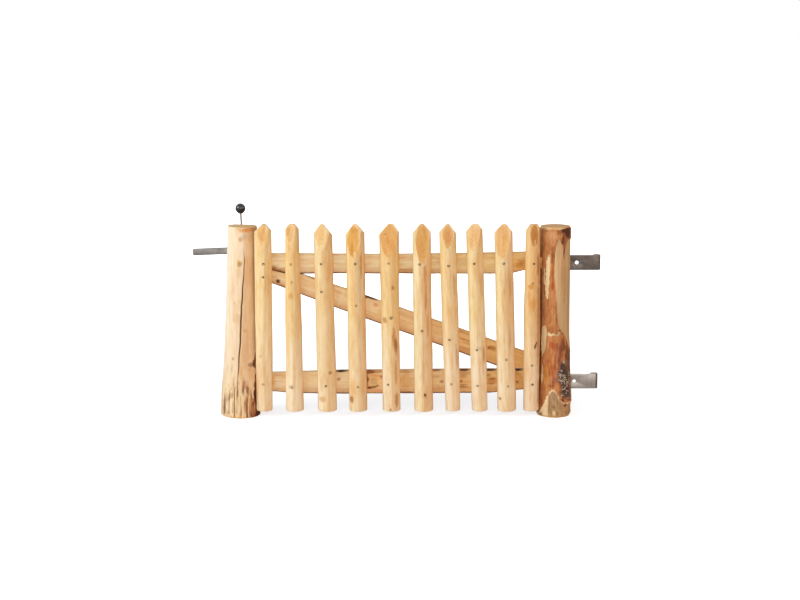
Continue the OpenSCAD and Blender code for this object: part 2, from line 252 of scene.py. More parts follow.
def wood(name, ring_width, ring_tint, ring_share, fibre_tint, fibre_share, patchy, painted="paint"):
    """Wood in the colour painted on the piece, with growth rings round the pith, fibres along it and knots.
    Gives back the material, its colour and its height, so that wear can be laid over them."""
    made = new_finish(name)[0]
    grain = add_node(made, "Attribute", {"attribute_name": "grain"}).outputs["Vector"]
    paint = add_node(made, "Attribute", {"attribute_name": painted}).outputs["Color"]
    knot = add_node(made, "Attribute", {"attribute_name": "knot"}).outputs["Fac"]
    # Rings: the distance from the pith, swayed by a few millimetres over each hand's breadth
    flat = add_node(made, "VectorMath", stretched, {1: (1, 1, 0)}, {0: grain})
    pith = add_node(made, "VectorMath", {"operation": "LENGTH"}, links={0: flat})
    slow = add_node(made, "VectorMath", stretched, {1: (16, 16, 2.2)}, {0: grain})
    sway = add_node(made, "TexNoise", values={"Scale": 1, "Detail": 2}, links={"Vector": slow})
    swayed = add_node(made, "Math", {"operation": "MULTIPLY_ADD"}, {1: 0.016}, {0: sway, 2: pith})
    counted = add_node(made, "Math", {"operation": "DIVIDE"}, {1: ring_width}, {0: swayed})
    ring = add_node(made, "Math", {"operation": "FRACT"}, links={0: counted})
    late = add_node(made, "MapRange", eased, {1: 0.55, 2: 0.96, 3: 0, 4: ring_share}, {0: ring})
    # Fibres: bundles about 2 mm wide and 100 mm long, drawn that coarse so that they show
    long = add_node(made, "VectorMath", stretched, {1: (480, 480, 9)}, {0: grain})
    fibre = add_node(made, "TexNoise", values={"Scale": 1, "Detail": 3}, links={"Vector": long})
    thin = add_node(made, "MapRange", values={1: 0.38, 2: 0.66, 3: fibre_share, 4: 0}, links={0: fibre})
    broad = add_node(made, "VectorMath", stretched, {1: (75, 75, 2.6)}, {0: grain})
    band = add_node(made, "TexNoise", values={"Scale": 1, "Detail": 2}, links={"Vector": broad})
    wide = add_node(made, "MapRange", values={1: 0.32, 2: 0.6, 3: fibre_share, 4: 0}, links={0: band})
    tone = add_node(made, "Mix", tinted, {7: linear(fibre_tint)}, {0: wide, 6: paint})
    tone = add_node(made, "Mix", tinted, {7: linear(fibre_tint)}, {0: thin, 6: tone})
    tone = add_node(made, "Mix", tinted, {7: linear(ring_tint)}, {0: late, 6: tone})
    # Blotches where the bast came off unevenly: honey patches about 15 by 60 mm, and paler ones between them
    patch = add_node(made, "VectorMath", stretched, {1: (70, 70, 15)}, {0: grain})
    patch = add_node(made, "TexNoise", values={"Scale": 1, "Detail": 4, "Roughness": 0.6},
                     links={"Vector": patch})
    honey = add_node(made, "ValToRGB", links={0: patch},
                     stops=[(0.3, "E9C182"), (0.42, "F8E4BE"), (0.55, "FFFFFF"), (0.7, "FFFFFF")])
    tone = add_node(made, "Mix", tinted, {0: patchy}, {6: tone, 7: honey})
    # Knots: a dark heart, a paler body and a thin dark rim, with ragged edges
    speck = add_node(made, "VectorMath", {"operation": "SCALE"}, {"Scale": 170}, {0: grain})
    rough = add_node(made, "TexNoise", values={"Scale": 1, "Detail": 2}, links={"Vector": speck})
    ragged = add_node(made, "Math", {"operation": "MULTIPLY_ADD"}, {1: 0.7}, {0: rough, 2: knot})
    heart = add_node(made, "ValToRGB", links={0: ragged},
                     stops=[(0.3, "5E3A1C"), (0.5, "8E5C2C"), (0.75, "C8945A"), (1, "A8743E")])
    body = add_node(made, "MapRange", eased, {1: 0.95, 2: 1.5, 3: 0.75, 4: 0}, {0: ragged})
    tone = add_node(made, "Mix", laid_over, links={0: body, 6: tone, 7: heart})
    height = add_node(made, "Math", {"operation": "MULTIPLY_ADD"}, {1: -1.2}, {0: body, 2: fibre})
    return made, tone.outputs[2], height.outputs[0]


def dress(material, colour, height, depth, roughness):
    """Gives the shader its colour and a relief of that depth in metres."""
    shader = material.node_tree.nodes["Principled BSDF"]
    relief = add_node(material, "Bump", values={"Strength": 1, "Distance": depth}, links={"Height": height})
    material.node_tree.links.new(colour, shader.inputs["Base Color"])
    material.node_tree.links.new(relief.outputs[0], shader.inputs["Normal"])
    shader.inputs["Roughness"].default_value = roughness
    shader.inputs["IOR"].default_value = 1.5
    shader.inputs["Specular IOR Level"].default_value = 0.35


def edge_distance(outline, across, along):
    """Distance to the edge of an outline on the skin of a log, positive inside it."""
    best = 1e9
    inside = False
    for k in range(len(outline)):
        ax, az = outline[k]
        bx, bz = outline[k - 1]
        dx, dz = bx - ax, bz - az
        share = max(0, min(1, ((across - ax) * dx + (along - az) * dz) / (dx * dx + dz * dz)))
        best = min(best, math.hypot(across - ax - dx * share, along - az - dz * share))
        if (az > along) != (bz > along) and across < ax + (along - az) * dx / dz:
            inside = not inside
    return best if inside else -best


latch_post_x = -1.556
latch_post_radius = 0.066
latch_post_lean = math.radians(1.5)
latch_post_girth = [1.32, 1.31, 1.2, 1.16, 1.06, 1, 0.99, 0.975, 0.95]
latch_seat_foot = 0.53925
latch_seat_depth = 0.048
first_picket_left = 0.0694
picket_notch_y = -0.0447
# The skin of the foot lies farther out than that of the post
foot_radius = latch_post_radius * 1.25

# The split: degrees round from the front towards the hinges, and millimetres up from the foot
split_line = [(14, 832), (14, 742), (16, 690), (12, 616), (9, 548), (6, 492), (4, 418), (3, 349), (-1, 274),
              (-3, 205), (-5, 150)]
# Half its width there, and millimetres up from the foot
split_opening = [(-1, 832), (-1, 772), (0, 742), (0.8, 710), (1.7, 650), (2.8, 560), (3.2, 420), (2.4, 250),
                 (0.8, 160), (-1, 130), (-1, 0)]
# The flutes of the root: degrees, top, bottom, half width and depth
root_flutes = [
    (-25, 258, 190, 3, 3), (-31, 150, 0, 5, 4), (-51, 120, 0, 7, 6), (-13, 160, -40, 2.5, 5),
    (5, 130, -40, 5, 2.5), (14, 195, 95, 6, 4), (24, 125, -40, 5, 5), (38, 150, -40, 5, 4),
    (-72, 160, -40, 6, 5), (70, 170, -40, 6, 5), (96, 140, -40, 7, 5), (123, 190, -40, 6, 6),
    (150, 120, -40, 8, 5), (176, 170, -40, 6, 6), (-155, 130, -40, 7, 5), (-128, 180, -40, 6, 6),
    (-100, 140, -40, 8, 5)]
# The bark that is left: degrees, and millimetres up from the foot
latch_post_bark = [(64, 318), (58, 290), (52, 262), (45, 250), (42, 238), (50, 222), (60, 214), (58, 196),
                   (50, 182), (54, 166), (46, 150),
                   (48, 128), (42, 112), (46, 92), (36, 76), (42, 52), (34, 30), (38, -20), (130, -20),
                   (118, 60), (104, 120), (96, 200), (76, 290)]
# Knots and bumps: degrees, height, size and rise in millimetres
latch_post_bumps = [(0, 782, 22, 2), (-4, 675, 26, 2.4), (170, 560, 30, 3), (100, 420, 24, 2.5)]


def along_line(line, along):
    """The other value of a line at that height."""
    if along >= line[0][1]:
        return line[0][0]
    for (high_value, high), (low_value, low) in zip(line, line[1:]):
        if along >= low:
            return low_value + (high_value - low_value) * (along - low) / (high - low)
    return line[-1][0]


def round_from_front(x, y):
    """Degrees round a log from the front towards the hinges."""
    return math.degrees(math.atan2(x, -y))


def arc(degrees, radius):
    """Millimetres along the skin for an angle round a log."""
    return math.radians((degrees + 180) % 360 - 180) * radius * 1000


bark_radius = 0.08
latch_bark_outline = [(arc(turn, bark_radius), up) for turn, up in latch_post_bark]


def swell(degrees, up, radius, bumps):
    """How far knots and bumps stand out there in metres, from their angle, height, size and rise."""
    out = 0
    for turn, height, size, lift in bumps:
        away = math.hypot(arc(degrees - turn, radius), up - height) / size
        out += lift / 1000 * math.exp(-away * away)
    return out


def flute_depth(turn, up):
    """How deep the flutes of the root cut in there, in millimetres."""
    deepest = 0
    for middle, top, bottom, half, depth in root_flutes:
        drift = middle + 4 * ripple(middle, up * 0.012, 0)
        away = abs(arc(turn - drift, foot_radius)) / half
        if away < 1:
            deepest = max(deepest, depth * (1 - away) * rise(0, 70, top - up) * rise(0, 30, up - bottom))
    return deepest


def splinter(degrees, up):
    """Where the torn fibres of the foot have parted: 0 in a gap and 1 on a ridge, 8 to 20 mm apart."""
    across = arc(degrees, foot_radius)
    wave = ripple(across * 0.085, up * 0.0065, 9) + 0.3 * ripple(across * 0.17, up * 0.012, 4)
    return min(1, abs(wave) / 0.16)


def splintered(degrees, up):
    """How far the foot is splintered there: all over low down, and ending raggedly at about 170 mm."""
    return rise(205, 120, up + 50 * ripple(arc(degrees, latch_post_radius) * 0.06, 0, 2))


def split_side(turn, up):
    """Millimetres round from the middle of the split."""
    wander = 1.2 * ripple(3, up * 0.02, 0)
    return arc(turn - along_line(split_line, up), latch_post_radius) + wander


def latch_post_shape(x, y, z):
    """The post in the round: girth, flats of the spud, bumps, flutes, bark, split and the seats on it."""
    turn = math.atan2(x, -y)
    degrees, up = math.degrees(turn), z * 1000
    part = z / post_height
    girth = girth_at(part, post_stations, latch_post_girth)
    girth *= 1 + 0.012 * math.sin(2 * turn + 0.6 + 2 * part) + 0.008 * math.sin(3 * turn - 5 * part)
    girth *= 1 + 0.018 * ripple(1.4 * math.sin(turn), 1.4 * math.cos(turn), z * 5)
    radius = latch_post_radius * girth
    # Flats that the peeling spud left, each about 15 mm wide
    radius += 0.0006 * ripple(9 * math.sin(turn), 9 * math.cos(turn), z * 3)
    radius += swell(degrees, up, latch_post_radius, latch_post_bumps)
    radius -= flute_depth(degrees, up) / 1000
    radius -= 0.0028 * splintered(degrees, up) * (1 - splinter(degrees, up))
    bark_edge = edge_distance(latch_bark_outline, arc(degrees, bark_radius), up)
    radius += 0.0022 * rise(-3, 3, bark_edge) - 0.0010
    open_half = along_line(split_opening, up) + 1.4
    side = abs(split_side(degrees, up)) / open_half
    radius -= 0.0045 * max(0, 1 - side) * rise(140, 240, up) * rise(770, 700, up)
    x, y = radius * math.sin(turn), -radius * math.cos(turn)
    if z > latch_seat_foot:
        y = min(y, latch_seat_depth)
    if z < post_height / 2 and x > first_picket_left:
        y = max(y, picket_notch_y)
    return x, y, z


# Up the peeled skin, and on the splintered foot
peeled_spots = [
    (0, 782, 11, 13, "D9A56B", 0.75), (0, 784, 5, 6, "E8C08C", 0.8), (-4, 676, 12, 17, "C89848", 0.8),
    (-4, 678, 5, 7, "B28A48", 0.5), (-6, 640, 14, 30, "E8BE80", 0.4), (32, 822, 46, 13, "EBA050", 0.85),
    (-2, 826, 26, 8, "F0C080", 0.6), (17, 794, 17, 16, "DCCCB0", 0.7), (44, 790, 14, 30, "E8B878", 0.5),
    (34, 640, 22, 90, "E6B27C", 0.35), (-20, 470, 16, 60, "F2CB93", 0.5),
    (-12, 440, 22, 26, "E3B277", 0.35), (-42, 480, 18, 110, "F7E3C6", 0.5), (-24, 507, 5, 5, "C08D58", 0.5),
    (20, 386, 7, 7, "C48F5A", 0.5), (-25, 262, 6, 9, "B98454", 0.6), (22, 300, 20, 120, "E8BE93", 0.5),
    (-30, 560, 14, 80, "EFC79A", 0.3), (4, 205, 9, 40, "E2AE74", 0.5)]
foot_spots = [
    (-26, 100, 8, 16, "B48C4C", 0.6), (-62, 40, 12, 36, "8A6038", 0.5), (20, 152, 8, 22, "CC8060", 0.7),
    (30, 126, 5, 30, "9A4E2C", 0.85), (-6, 90, 3, 100, "8A4E28", 0.8), (24, 60, 9, 44, "B06A34", 0.55),
    (42, 60, 10, 50, "C88A54", 0.6), (-48, 92, 10, 22, "C99C72", 0.5), (0, 60, 13, 50, "FBE2B4", 0.6),
    (-36, 50, 9, 34, "FBE4BC", 0.5), (0, 4, 120, 7, "E8C080", 0.5), (44, 236, 14, 14, "96683C", 0.7),
    (36, 215, 12, 8, "D8B080", 0.5)]


def latch_post_paint(x, y, z):
    """The colour of the peeled skin and of the sawn top, with painted light on the left side and painted
    shade in the hollows of the foot.
    """
    degrees, up = round_from_front(x, y), z * 1000
    across = arc(degrees, latch_post_radius)
    side = arc(degrees - along_line(split_line, up), latch_post_radius)
    colour = blend(linear("FCE9CB"), linear("F4D6AC"), rise(-3, 5, side))
    behind = rise(-110, -160, degrees)
    browned = 0.4 * max(rise(30, 90, degrees), behind)
    colour = blend(colour, linear("E8BC86"), browned + 0.25 * ripple(across * 0.03, up * 0.006, 5))
    # Painted light: the left side of the post, which faces the lamp, is painted paler
    colour = blend(colour, linear("FFF4E4"), 0.8 * rise(-25, -75, degrees) * (1 - behind))
    if up > 831:
        return blend(linear("FFF2CC"), linear("FFD08C"), rise(-5, 30, side))
    colour = laid(colour, peeled_spots, across, up)
    if up < 280:
        cut = flute_depth(degrees, up)
        torn = splintered(degrees, up)
        ridge = splinter(degrees, up)
        colour = blend(colour, linear("F2CFA0"), 0.5 * rise(240, 90, up))
        colour = blend(colour, linear("FCE6BC"), 0.7 * torn * rise(0.5, 1, ridge))
        # Painted shade in the hollows: the gaps between the splinters are darkened, more towards the right,
        # away from the light, and the flutes are darkened the deeper they cut
        gap = (0.55 + 0.3 * rise(-25, 20, degrees)) * torn * rise(0.45, 0.05, ridge)
        colour = blend(colour, linear("8A5A30"), gap)
        colour = blend(colour, linear("7A4020"), min(0.9, cut / 3))
        colour = laid(colour, foot_spots, across, up)
    return colour


bark_paint_spots = [
    (68, 268, 10, 40, "8A5A32", 0.8), (56, 236, 14, 14, "7A5230", 0.85), (66, 206, 12, 12, "C08A54", 0.6),
    (60, 168, 12, 22, "96522C", 0.7), (52, 130, 5, 22, "D29460", 0.8), (64, 124, 8, 30, "7A3E1E", 0.8),
    (54, 84, 7, 16, "D8A070", 0.8), (62, 60, 10, 24, "8A4826", 0.8), (50, 40, 6, 26, "CF9058", 0.8),
    (66, 22, 9, 12, "C08A5C", 0.7), (84, 14, 20, 22, "5A3420", 0.9), (95, 110, 30, 60, "6B452B", 0.6),
    (58, 100, 9, 24, "4E2812", 0.85), (62, 48, 4, 26, "E8C090", 0.85), (70, 30, 4, 16, "E4B88C", 0.8),
    (47, 70, 4, 30, "E0A870", 0.7)]


def latch_post_bark_paint(x, y, z):
    """The colour of the bark left on the foot."""
    degrees, up = round_from_front(x, y), z * 1000
    return laid(linear("A8683E"), bark_paint_spots, arc(degrees, latch_post_radius * 1.1), up)


# Peeled chestnut: matt, pale sapwood with soft streaks along it, a little browner where the bast stayed on.
# Rings 3.5 mm wide hardly show on a peeled skin.
peeled_chestnut, peeled_colour, peeled_height = wood("peeled_chestnut_sapwood", 0.0035, "F4E4C8", 0.12,
                                                     "F1DEBC", 0.34, 0.3)
# The split is painted nearly black-brown inside: partly the darker wood in the crack and partly painted shade
side = add_node(peeled_chestnut, "Attribute", {"attribute_name": "split_side"}).outputs["Fac"]
opening = add_node(peeled_chestnut, "Attribute", {"attribute_name": "split_opening"}).outputs["Fac"]
side = add_node(peeled_chestnut, "Math", {"operation": "ABSOLUTE"}, links={0: side})
gap = add_node(peeled_chestnut, "Math", {"operation": "SUBTRACT"}, links={0: opening, 1: side})
dark = add_node(peeled_chestnut, "MapRange", eased, {1: -0.9, 2: 0.7, 3: 0, 4: 0.97}, {0: gap})
peeled_colour = add_node(peeled_chestnut, "Mix", laid_over, {7: linear("6E4620")},
                         {0: dark, 6: peeled_colour}).outputs[2]


def bark_over(material, colour, height, depth):
    """Lays bark over wood where the piece still has it: mottled, cracked along the log, with lichen."""
    grain = add_node(material, "Attribute", {"attribute_name": "grain"}).outputs["Vector"]
    paint = add_node(material, "Attribute", {"attribute_name": "bark_paint"}).outputs["Color"]
    edge = add_node(material, "Attribute", {"attribute_name": "bark_edge"}).outputs["Fac"]
    moss = add_node(material, "Attribute", {"attribute_name": "lichen"}).outputs["Fac"]
    # The torn edge wanders by 3 mm over each centimetre, longer along the log
    torn = add_node(material, "VectorMath", stretched, {1: (210, 210, 55)}, {0: grain})
    torn = add_node(material, "TexNoise", values={"Scale": 1, "Detail": 4}, links={"Vector": torn})
    torn = add_node(material, "MapRange", values={3: -3.4, 4: 3.4, 1: 0.2, 2: 0.8}, links={0: torn})
    edge = add_node(material, "Math", {"operation": "ADD"}, links={0: edge, 1: torn})
    skin = add_node(material, "MapRange", eased, {1: -0.5, 2: 0.5}, {0: edge})
    # Mottles 10 mm across and 30 mm long, and thin darker streaks along the log
    mottle = add_node(material, "VectorMath", stretched, {1: (90, 90, 30)}, {0: grain})
    mottle = add_node(material, "TexNoise", values={"Scale": 1, "Detail": 5, "Roughness": 0.62},
                      links={"Vector": mottle})
    mottled = add_node(material, "ValToRGB", links={0: mottle},
                       stops=[(0.3, "A06A3C"), (0.44, "D8B088"), (0.54, "FFF4E4"), (0.66, "FFFFFF")])
    tone = add_node(material, "Mix", tinted, {0: 0.5}, {6: paint, 7: mottled})
    streak = add_node(material, "VectorMath", stretched, {1: (260, 260, 14)}, {0: grain})
    streak = add_node(material, "TexNoise", values={"Scale": 1, "Detail": 3}, links={"Vector": streak})
    streaked = add_node(material, "MapRange", values={1: 0.36, 2: 0.5, 3: 0.3, 4: 0}, links={0: streak})
    tone = add_node(material, "Mix", tinted, {7: linear("8A5630")}, {0: streaked, 6: tone})
    # Lichen: pale grey-green crusts 3 to 6 mm across with nearly black bark between them
    crust = add_node(material, "TexVoronoi", values={"Scale": 165}, links={"Vector": grain})
    frayed = add_node(material, "TexNoise", values={"Scale": 420, "Detail": 3}, links={"Vector": grain})
    crust = add_node(material, "Math", {"operation": "MULTIPLY_ADD"}, {1: 0.7}, {0: frayed, 2: crust})
    scatter = add_node(material, "TexNoise", values={"Scale": 75, "Detail": 3}, links={"Vector": grain})
    crusted = add_node(material, "ValToRGB", links={0: crust},
                       stops=[(0.64, "DCD4C2"), (0.75, "BEB298"), (0.84, "7E705E"), (0.93, "4A3C34")])
    spread = add_node(material, "Math", {"operation": "ADD"}, links={0: moss, 1: scatter})
    spread = add_node(material, "MapRange", eased, {1: 0.92, 2: 1.08}, {0: spread})
    tone = add_node(material, "Mix", laid_over, links={0: spread, 6: tone, 7: crusted})
    tone = add_node(material, "Mix", laid_over, links={0: skin, 6: colour, 7: tone})
    rough = add_node(material, "Math", {"operation": "MULTIPLY_ADD"}, {1: 2.4}, {0: mottle, 2: skin})
    rough = add_node(material, "Mix", {"data_type": "FLOAT"}, links={0: skin, 2: height, 3: rough})
    dress(material, tone.outputs[2], rough.outputs[0], depth, 0.78)


bark_over(peeled_chestnut, peeled_colour, peeled_height, 0.0007)

# Sawn chestnut end: rings 6 mm wide, as fast coppice grows them, with fine open pores
sawn_end, end_colour, end_height = wood("sawn_chestnut_end", 0.006, "B07C44", 0.8, "F8E8C8", 0.15, 0.1)
fresh_cut = add_node(sawn_end, "Mix", laid_over, {0: 0.65, 7: linear("FFD094")}, {6: end_colour})
dress(sawn_end, fresh_cut.outputs[2], end_height, 0.0004, 0.8)


def finish_log(log, skin):
    """Gives a log the finish of its skin, and the sawn one on its ends, its only many-sided faces."""
    log.data.materials.append(skin)
    log.data.materials.append(sawn_end)
    for face in log.data.polygons:
        face.material_index = 1 if abs(face.normal.z) > 0.95 and len(face.vertices) > 4 else 0


latch_post = round_log("latch_post_peeled", latch_post_radius, post_height, 160, [25, 7])
shape_points(latch_post, latch_post_shape)
write_points(latch_post, "grain", "FLOAT_VECTOR", lambda x, y, z: (x + 0.006, y - 0.004, z))
write_points(latch_post, "paint", "FLOAT_COLOR", latch_post_paint)
write_points(latch_post, "bark_paint", "FLOAT_COLOR", latch_post_bark_paint)
write_points(latch_post, "bark_edge", "FLOAT", lambda x, y, z: edge_distance(
    latch_bark_outline, arc(round_from_front(x, y), bark_radius), z * 1000))
write_points(latch_post, "lichen", "FLOAT", lambda x, y, z: 0)
latch_post_knots = [(arc(170, latch_post_radius), 560, 12, 15), (arc(100, latch_post_radius), 420, 10, 13)]
write_points(latch_post, "knot", "FLOAT", lambda x, y, z: nearest_knot(
    latch_post_knots, arc(round_from_front(x, y), latch_post_radius), z * 1000))
write_points(latch_post, "split_side", "FLOAT", lambda x, y, z: split_side(round_from_front(x, y), z * 1000))
write_points(latch_post, "split_opening", "FLOAT", lambda x, y, z: along_line(split_opening, z * 1000))
finish_log(latch_post, peeled_chestnut)
put(latch_post, (latch_post_x, post_y, ground_z), (0, latch_post_lean, 0))
smooth(latch_post, 40)
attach(latch_post, "leaf")
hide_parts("latch_post")

# ---- The hinge post
# A round chestnut post with most of its smooth, red-brown bark on. It is torn off in long lenses and at the
# right, where the tan wood has greyed. Lichen grows low down, and the foot is hewn to a pale tongue.
hinge_post_x = -0.184
hinge_post_radius = 0.067
hinge_post_lean = math.radians(-0.4)
hinge_post_girth = [1.22, 1.17, 1.07, 1.035, 1.01, 1.005, 1, 0.99, 0.965]
hinge_seat_depth = 0.055
strap_height = 0.066
strap_spacing = 0.530
seat_margin = 0.014
last_picket_right = -0.065

# Degrees round from the front towards the hinges, and millimetres up from the foot
peeled_side = [(8, 788), (1, 765), (-4, 744), (-8, 701), (-9, 640), (-7, 600), (-3, 560), (0, 528),
               (3, 484), (6, 426), (11, 396),
               (25, 377), (34, 362), (41, 349), (52, 322), (60, 309), (83, 290), (110, 320), (128, 380),
               (137, 480), (122, 600), (112, 700), (96, 770), (70, 784), (52, 778), (42, 767), (36, 749),
               (31, 715), (28, 687), (25, 715), (20, 755), (14, 774)]
torn_lenses = [
    [(-29, 722), (-36, 700), (-40, 684), (-42, 641), (-45, 582), (-43, 546), (-36, 518), (-30, 526),
     (-29, 577), (-26, 613), (-23, 671), (-24, 704)],
    [(-47, 676), (-50, 632), (-50, 596), (-46, 576), (-45, 633)],
    [(-42, 408), (-52, 402), (-58, 385), (-62, 345), (-61, 301), (-54, 264), (-43, 290), (-36, 330),
     (-34, 375), (-36, 400)],
    [(-52, 236), (-56, 214), (-54, 170), (-48, 145), (-43, 180), (-46, 216)],
    [(-33, 373), (-25, 377), (-17, 370), (-8, 374), (2, 368), (11, 382), (18, 388), (15, 366), (4, 359),
     (-9, 365), (-19, 359), (-30, 364)],
    [(-150, 650), (-160, 560), (-156, 470), (-146, 420), (-137, 480), (-134, 570), (-141, 640)],
    [(-100, 330), (-111, 240), (-108, 180), (-97, 140), (-88, 210), (-91, 280)],
    [(168, 420), (158, 340), (160, 250), (169, 190), (177, 250), (176, 350)],
    [(-120, 800), (-130, 740), (-124, 690), (-113, 720), (-110, 780)],
    [(-200, 825), (-120, 828), (-60, 823), (-34, 821), (-12, 824), (8, 821), (24, 826), (48, 829),
     (120, 824), (200, 825), (200, 850), (-200, 850)]]
hewn_foot = [(-200, 48), (-180, 48), (-150, 70), (-120, 44), (-96, 52), (-74, 20), (-62, 16), (-52, 32),
             (-43, 52), (-36, 66), (-30, 88), (-24, 108), (-19, 120), (-13, 126),
             (-5, 128), (2, 118), (12, 95), (21, 75), (34, 65), (60, 68), (90, 55), (118, 88), (150, 60),
             (180, 48), (200, 48), (200, -60), (-200, -60)]
skin_radius = 0.068
peeled_outlines = [[(math.radians(turn) * skin_radius * 1000, up) for turn, up in line]
                   for line in [peeled_side] + torn_lenses + [hewn_foot]]
# The box round each outline, 14 mm wider all round
edge_reach = 14
outline_boxes = [[(min(values) - edge_reach, max(values) + edge_reach) for values in zip(*line)]
                 for line in peeled_outlines]
hinge_post_bumps = [(-44, 812, 20, 2.2), (26, 808, 30, 2.5), (64, 300, 34, 3), (-150, 600, 30, 3),
                    (120, 240, 26, 2.5), (50, 62, 16, 3)]


def peeled_by(across, up):
    """How far inside bare wood a place on the skin is, in millimetres, and negative where the bark is on."""
    best = -edge_reach
    for line, (sides, heights) in zip(peeled_outlines, outline_boxes):
        if sides[0] < across < sides[1] and heights[0] < up < heights[1]:
            best = max(best, edge_distance(line, across, up))
    return best


def hinge_post_shape(x, y, z):
    """The post in the round: girth, torn bark, hewn tongue, bumps and the seats for the straps."""
    turn = math.atan2(x, -y)
    degrees, up = math.degrees(turn), z * 1000
    part = z / post_height
    girth = girth_at(part, post_stations, hinge_post_girth)
    girth *= 1 + 0.010 * math.sin(2 * turn + 1.2 - 2 * part) + 0.008 * math.sin(3 * turn + 4 * part)
    girth *= 1 + 0.020 * ripple(1.5 * math.sin(turn), 1.5 * math.cos(turn), z * 6 + 9)
    radius = hinge_post_radius * girth
    bare = peeled_by(arc(degrees, skin_radius), up)
    radius -= 0.0024 * rise(-2.5, 2.5, bare)
    radius += 0.0011 * (1 - rise(-4, 2, bare)) * ripple(22 * math.sin(turn), 22 * math.cos(turn), z * 60)
    if up < 150:
        # The tongue is hollowed a little behind its raised rim, and the cut foot is lumpy
        tongue = edge_distance(peeled_outlines[-1], arc(degrees, skin_radius), up)
        radius -= 0.0035 * rise(4, 14, tongue) * rise(0, 60, 150 - up)
        radius += 0.0030 * rise(0, 8, tongue) * ripple(5 * math.sin(turn), 5 * math.cos(turn), z * 30)
        radius -= 0.0060 * rise(14, 0, up)
    radius += swell(degrees, up, hinge_post_radius, hinge_post_bumps)
    x, y = radius * math.sin(turn), -radius * math.cos(turn)
    for seat in (0, strap_spacing):
        if seat - seat_margin < z + ground_z < seat + strap_height + seat_margin:
            y = min(y, hinge_seat_depth)
    if z < post_height / 2 and x < last_picket_right:
        y = max(y, picket_notch_y)
    return x, y, z


def round_the_post(spots):
    """Spots whose middles are given in degrees round from the front, as millimetres along the skin."""
    return [(arc(turn, skin_radius), *others) for turn, *others in spots]


# Up the bare wood, and on the hewn foot
bare_wood_spots = round_the_post([
    (15, 690, 6, 60, "F0B890", 0.6), (1, 590, 6, 120, "F2CC9C", 0.6), (34, 600, 12, 110, "C29C68", 0.7),
    (12, 560, 6, 130, "E4C8A0", 0.5), (56, 520, 14, 220, "B8A07C", 0.5), (24, 470, 10, 90, "D4B890", 0.5),
    (22, 640, 5, 80, "C89468", 0.6), (44, 750, 10, 50, "C8AC7C", 0.6), (90, 560, 40, 160, "B79B78", 0.5),
    (31, 520, 5, 5, "9A6C40", 0.5)])
hewn_foot_spots = round_the_post([
    (-38, 30, 20, 34, "FFE4B8", 0.97), (-27, 74, 8, 30, "FFE2B4", 0.95), (-2, 96, 12, 26, "A88C68", 0.75),
    (8, 70, 4, 26, "8E7048", 0.6), (-12, 60, 4, 26, "9C7C54", 0.6), (-21, 66, 3.4, 58, "86683C", 0.7),
    (-4, 48, 11, 9, "8A6A40", 0.7), (6, 92, 6, 22, "C0A07C", 0.7), (16, 76, 6, 22, "A08058", 0.7),
    (40, 28, 12, 16, "A4824C", 0.6),
    (-52, 12, 8, 9, "6A4426", 0.8), (-60, 24, 8, 9, "4A3020", 0.8),
    (-14, 24, 6, 22, "9A7C48", 0.7), (-3, 22, 7, 12, "F6D8AA", 0.9), (8, 20, 5, 14, "8E7040", 0.8),
    (14, 48, 9, 12, "B08C5C", 0.7), (24, 60, 6, 20, "D0A474", 0.7), (36, 54, 9, 9, "6E3C1C", 0.9),
    (34, 34, 9, 9, "D8A878", 0.8), (48, 40, 8, 20, "D0A070", 0.7), (46, 14, 10, 9, "9A7444", 0.6),
    (26, 12, 8, 8, "C49C60", 0.7), (2, 4, 30, 5, "C09A58", 0.6), (60, 20, 12, 20, "A27443", 0.5),
    (-80, 22, 22, 16, "8C5F38", 0.6), (150, 26, 40, 16, "A9794A", 0.5), (-140, 20, 30, 14, "B5824F", 0.5)])


def hinge_post_paint(x, y, z):
    """The colour of the bare wood, the hewn foot and the sawn top."""
    degrees, up = round_from_front(x, y), z * 1000
    across = arc(degrees, skin_radius)
    if up > 816:
        return linear("EDC28C")
    greyed = rise(-24, 6, degrees) if degrees > -90 else 1 - rise(-150, -90, degrees)
    colour = blend(linear("FFE6B0"), linear("D4B585"), greyed)
    colour = laid(colour, bare_wood_spots, across, up)
    if up < 160:
        tongue = edge_distance(peeled_outlines[-1], across, up)
        colour = blend(colour, linear("D8B488"), rise(2, 7, tongue))
        colour = blend(colour, linear("BC9C74"), rise(6, 13, tongue) * rise(0, 30, up) * 0.9)
        colour = blend(colour, linear("FFE0B4"), (1 - rise(2, 6, abs(tongue - 3))) * rise(0, 40, up))
        colour = laid(colour, hewn_foot_spots, across, up)
    return colour
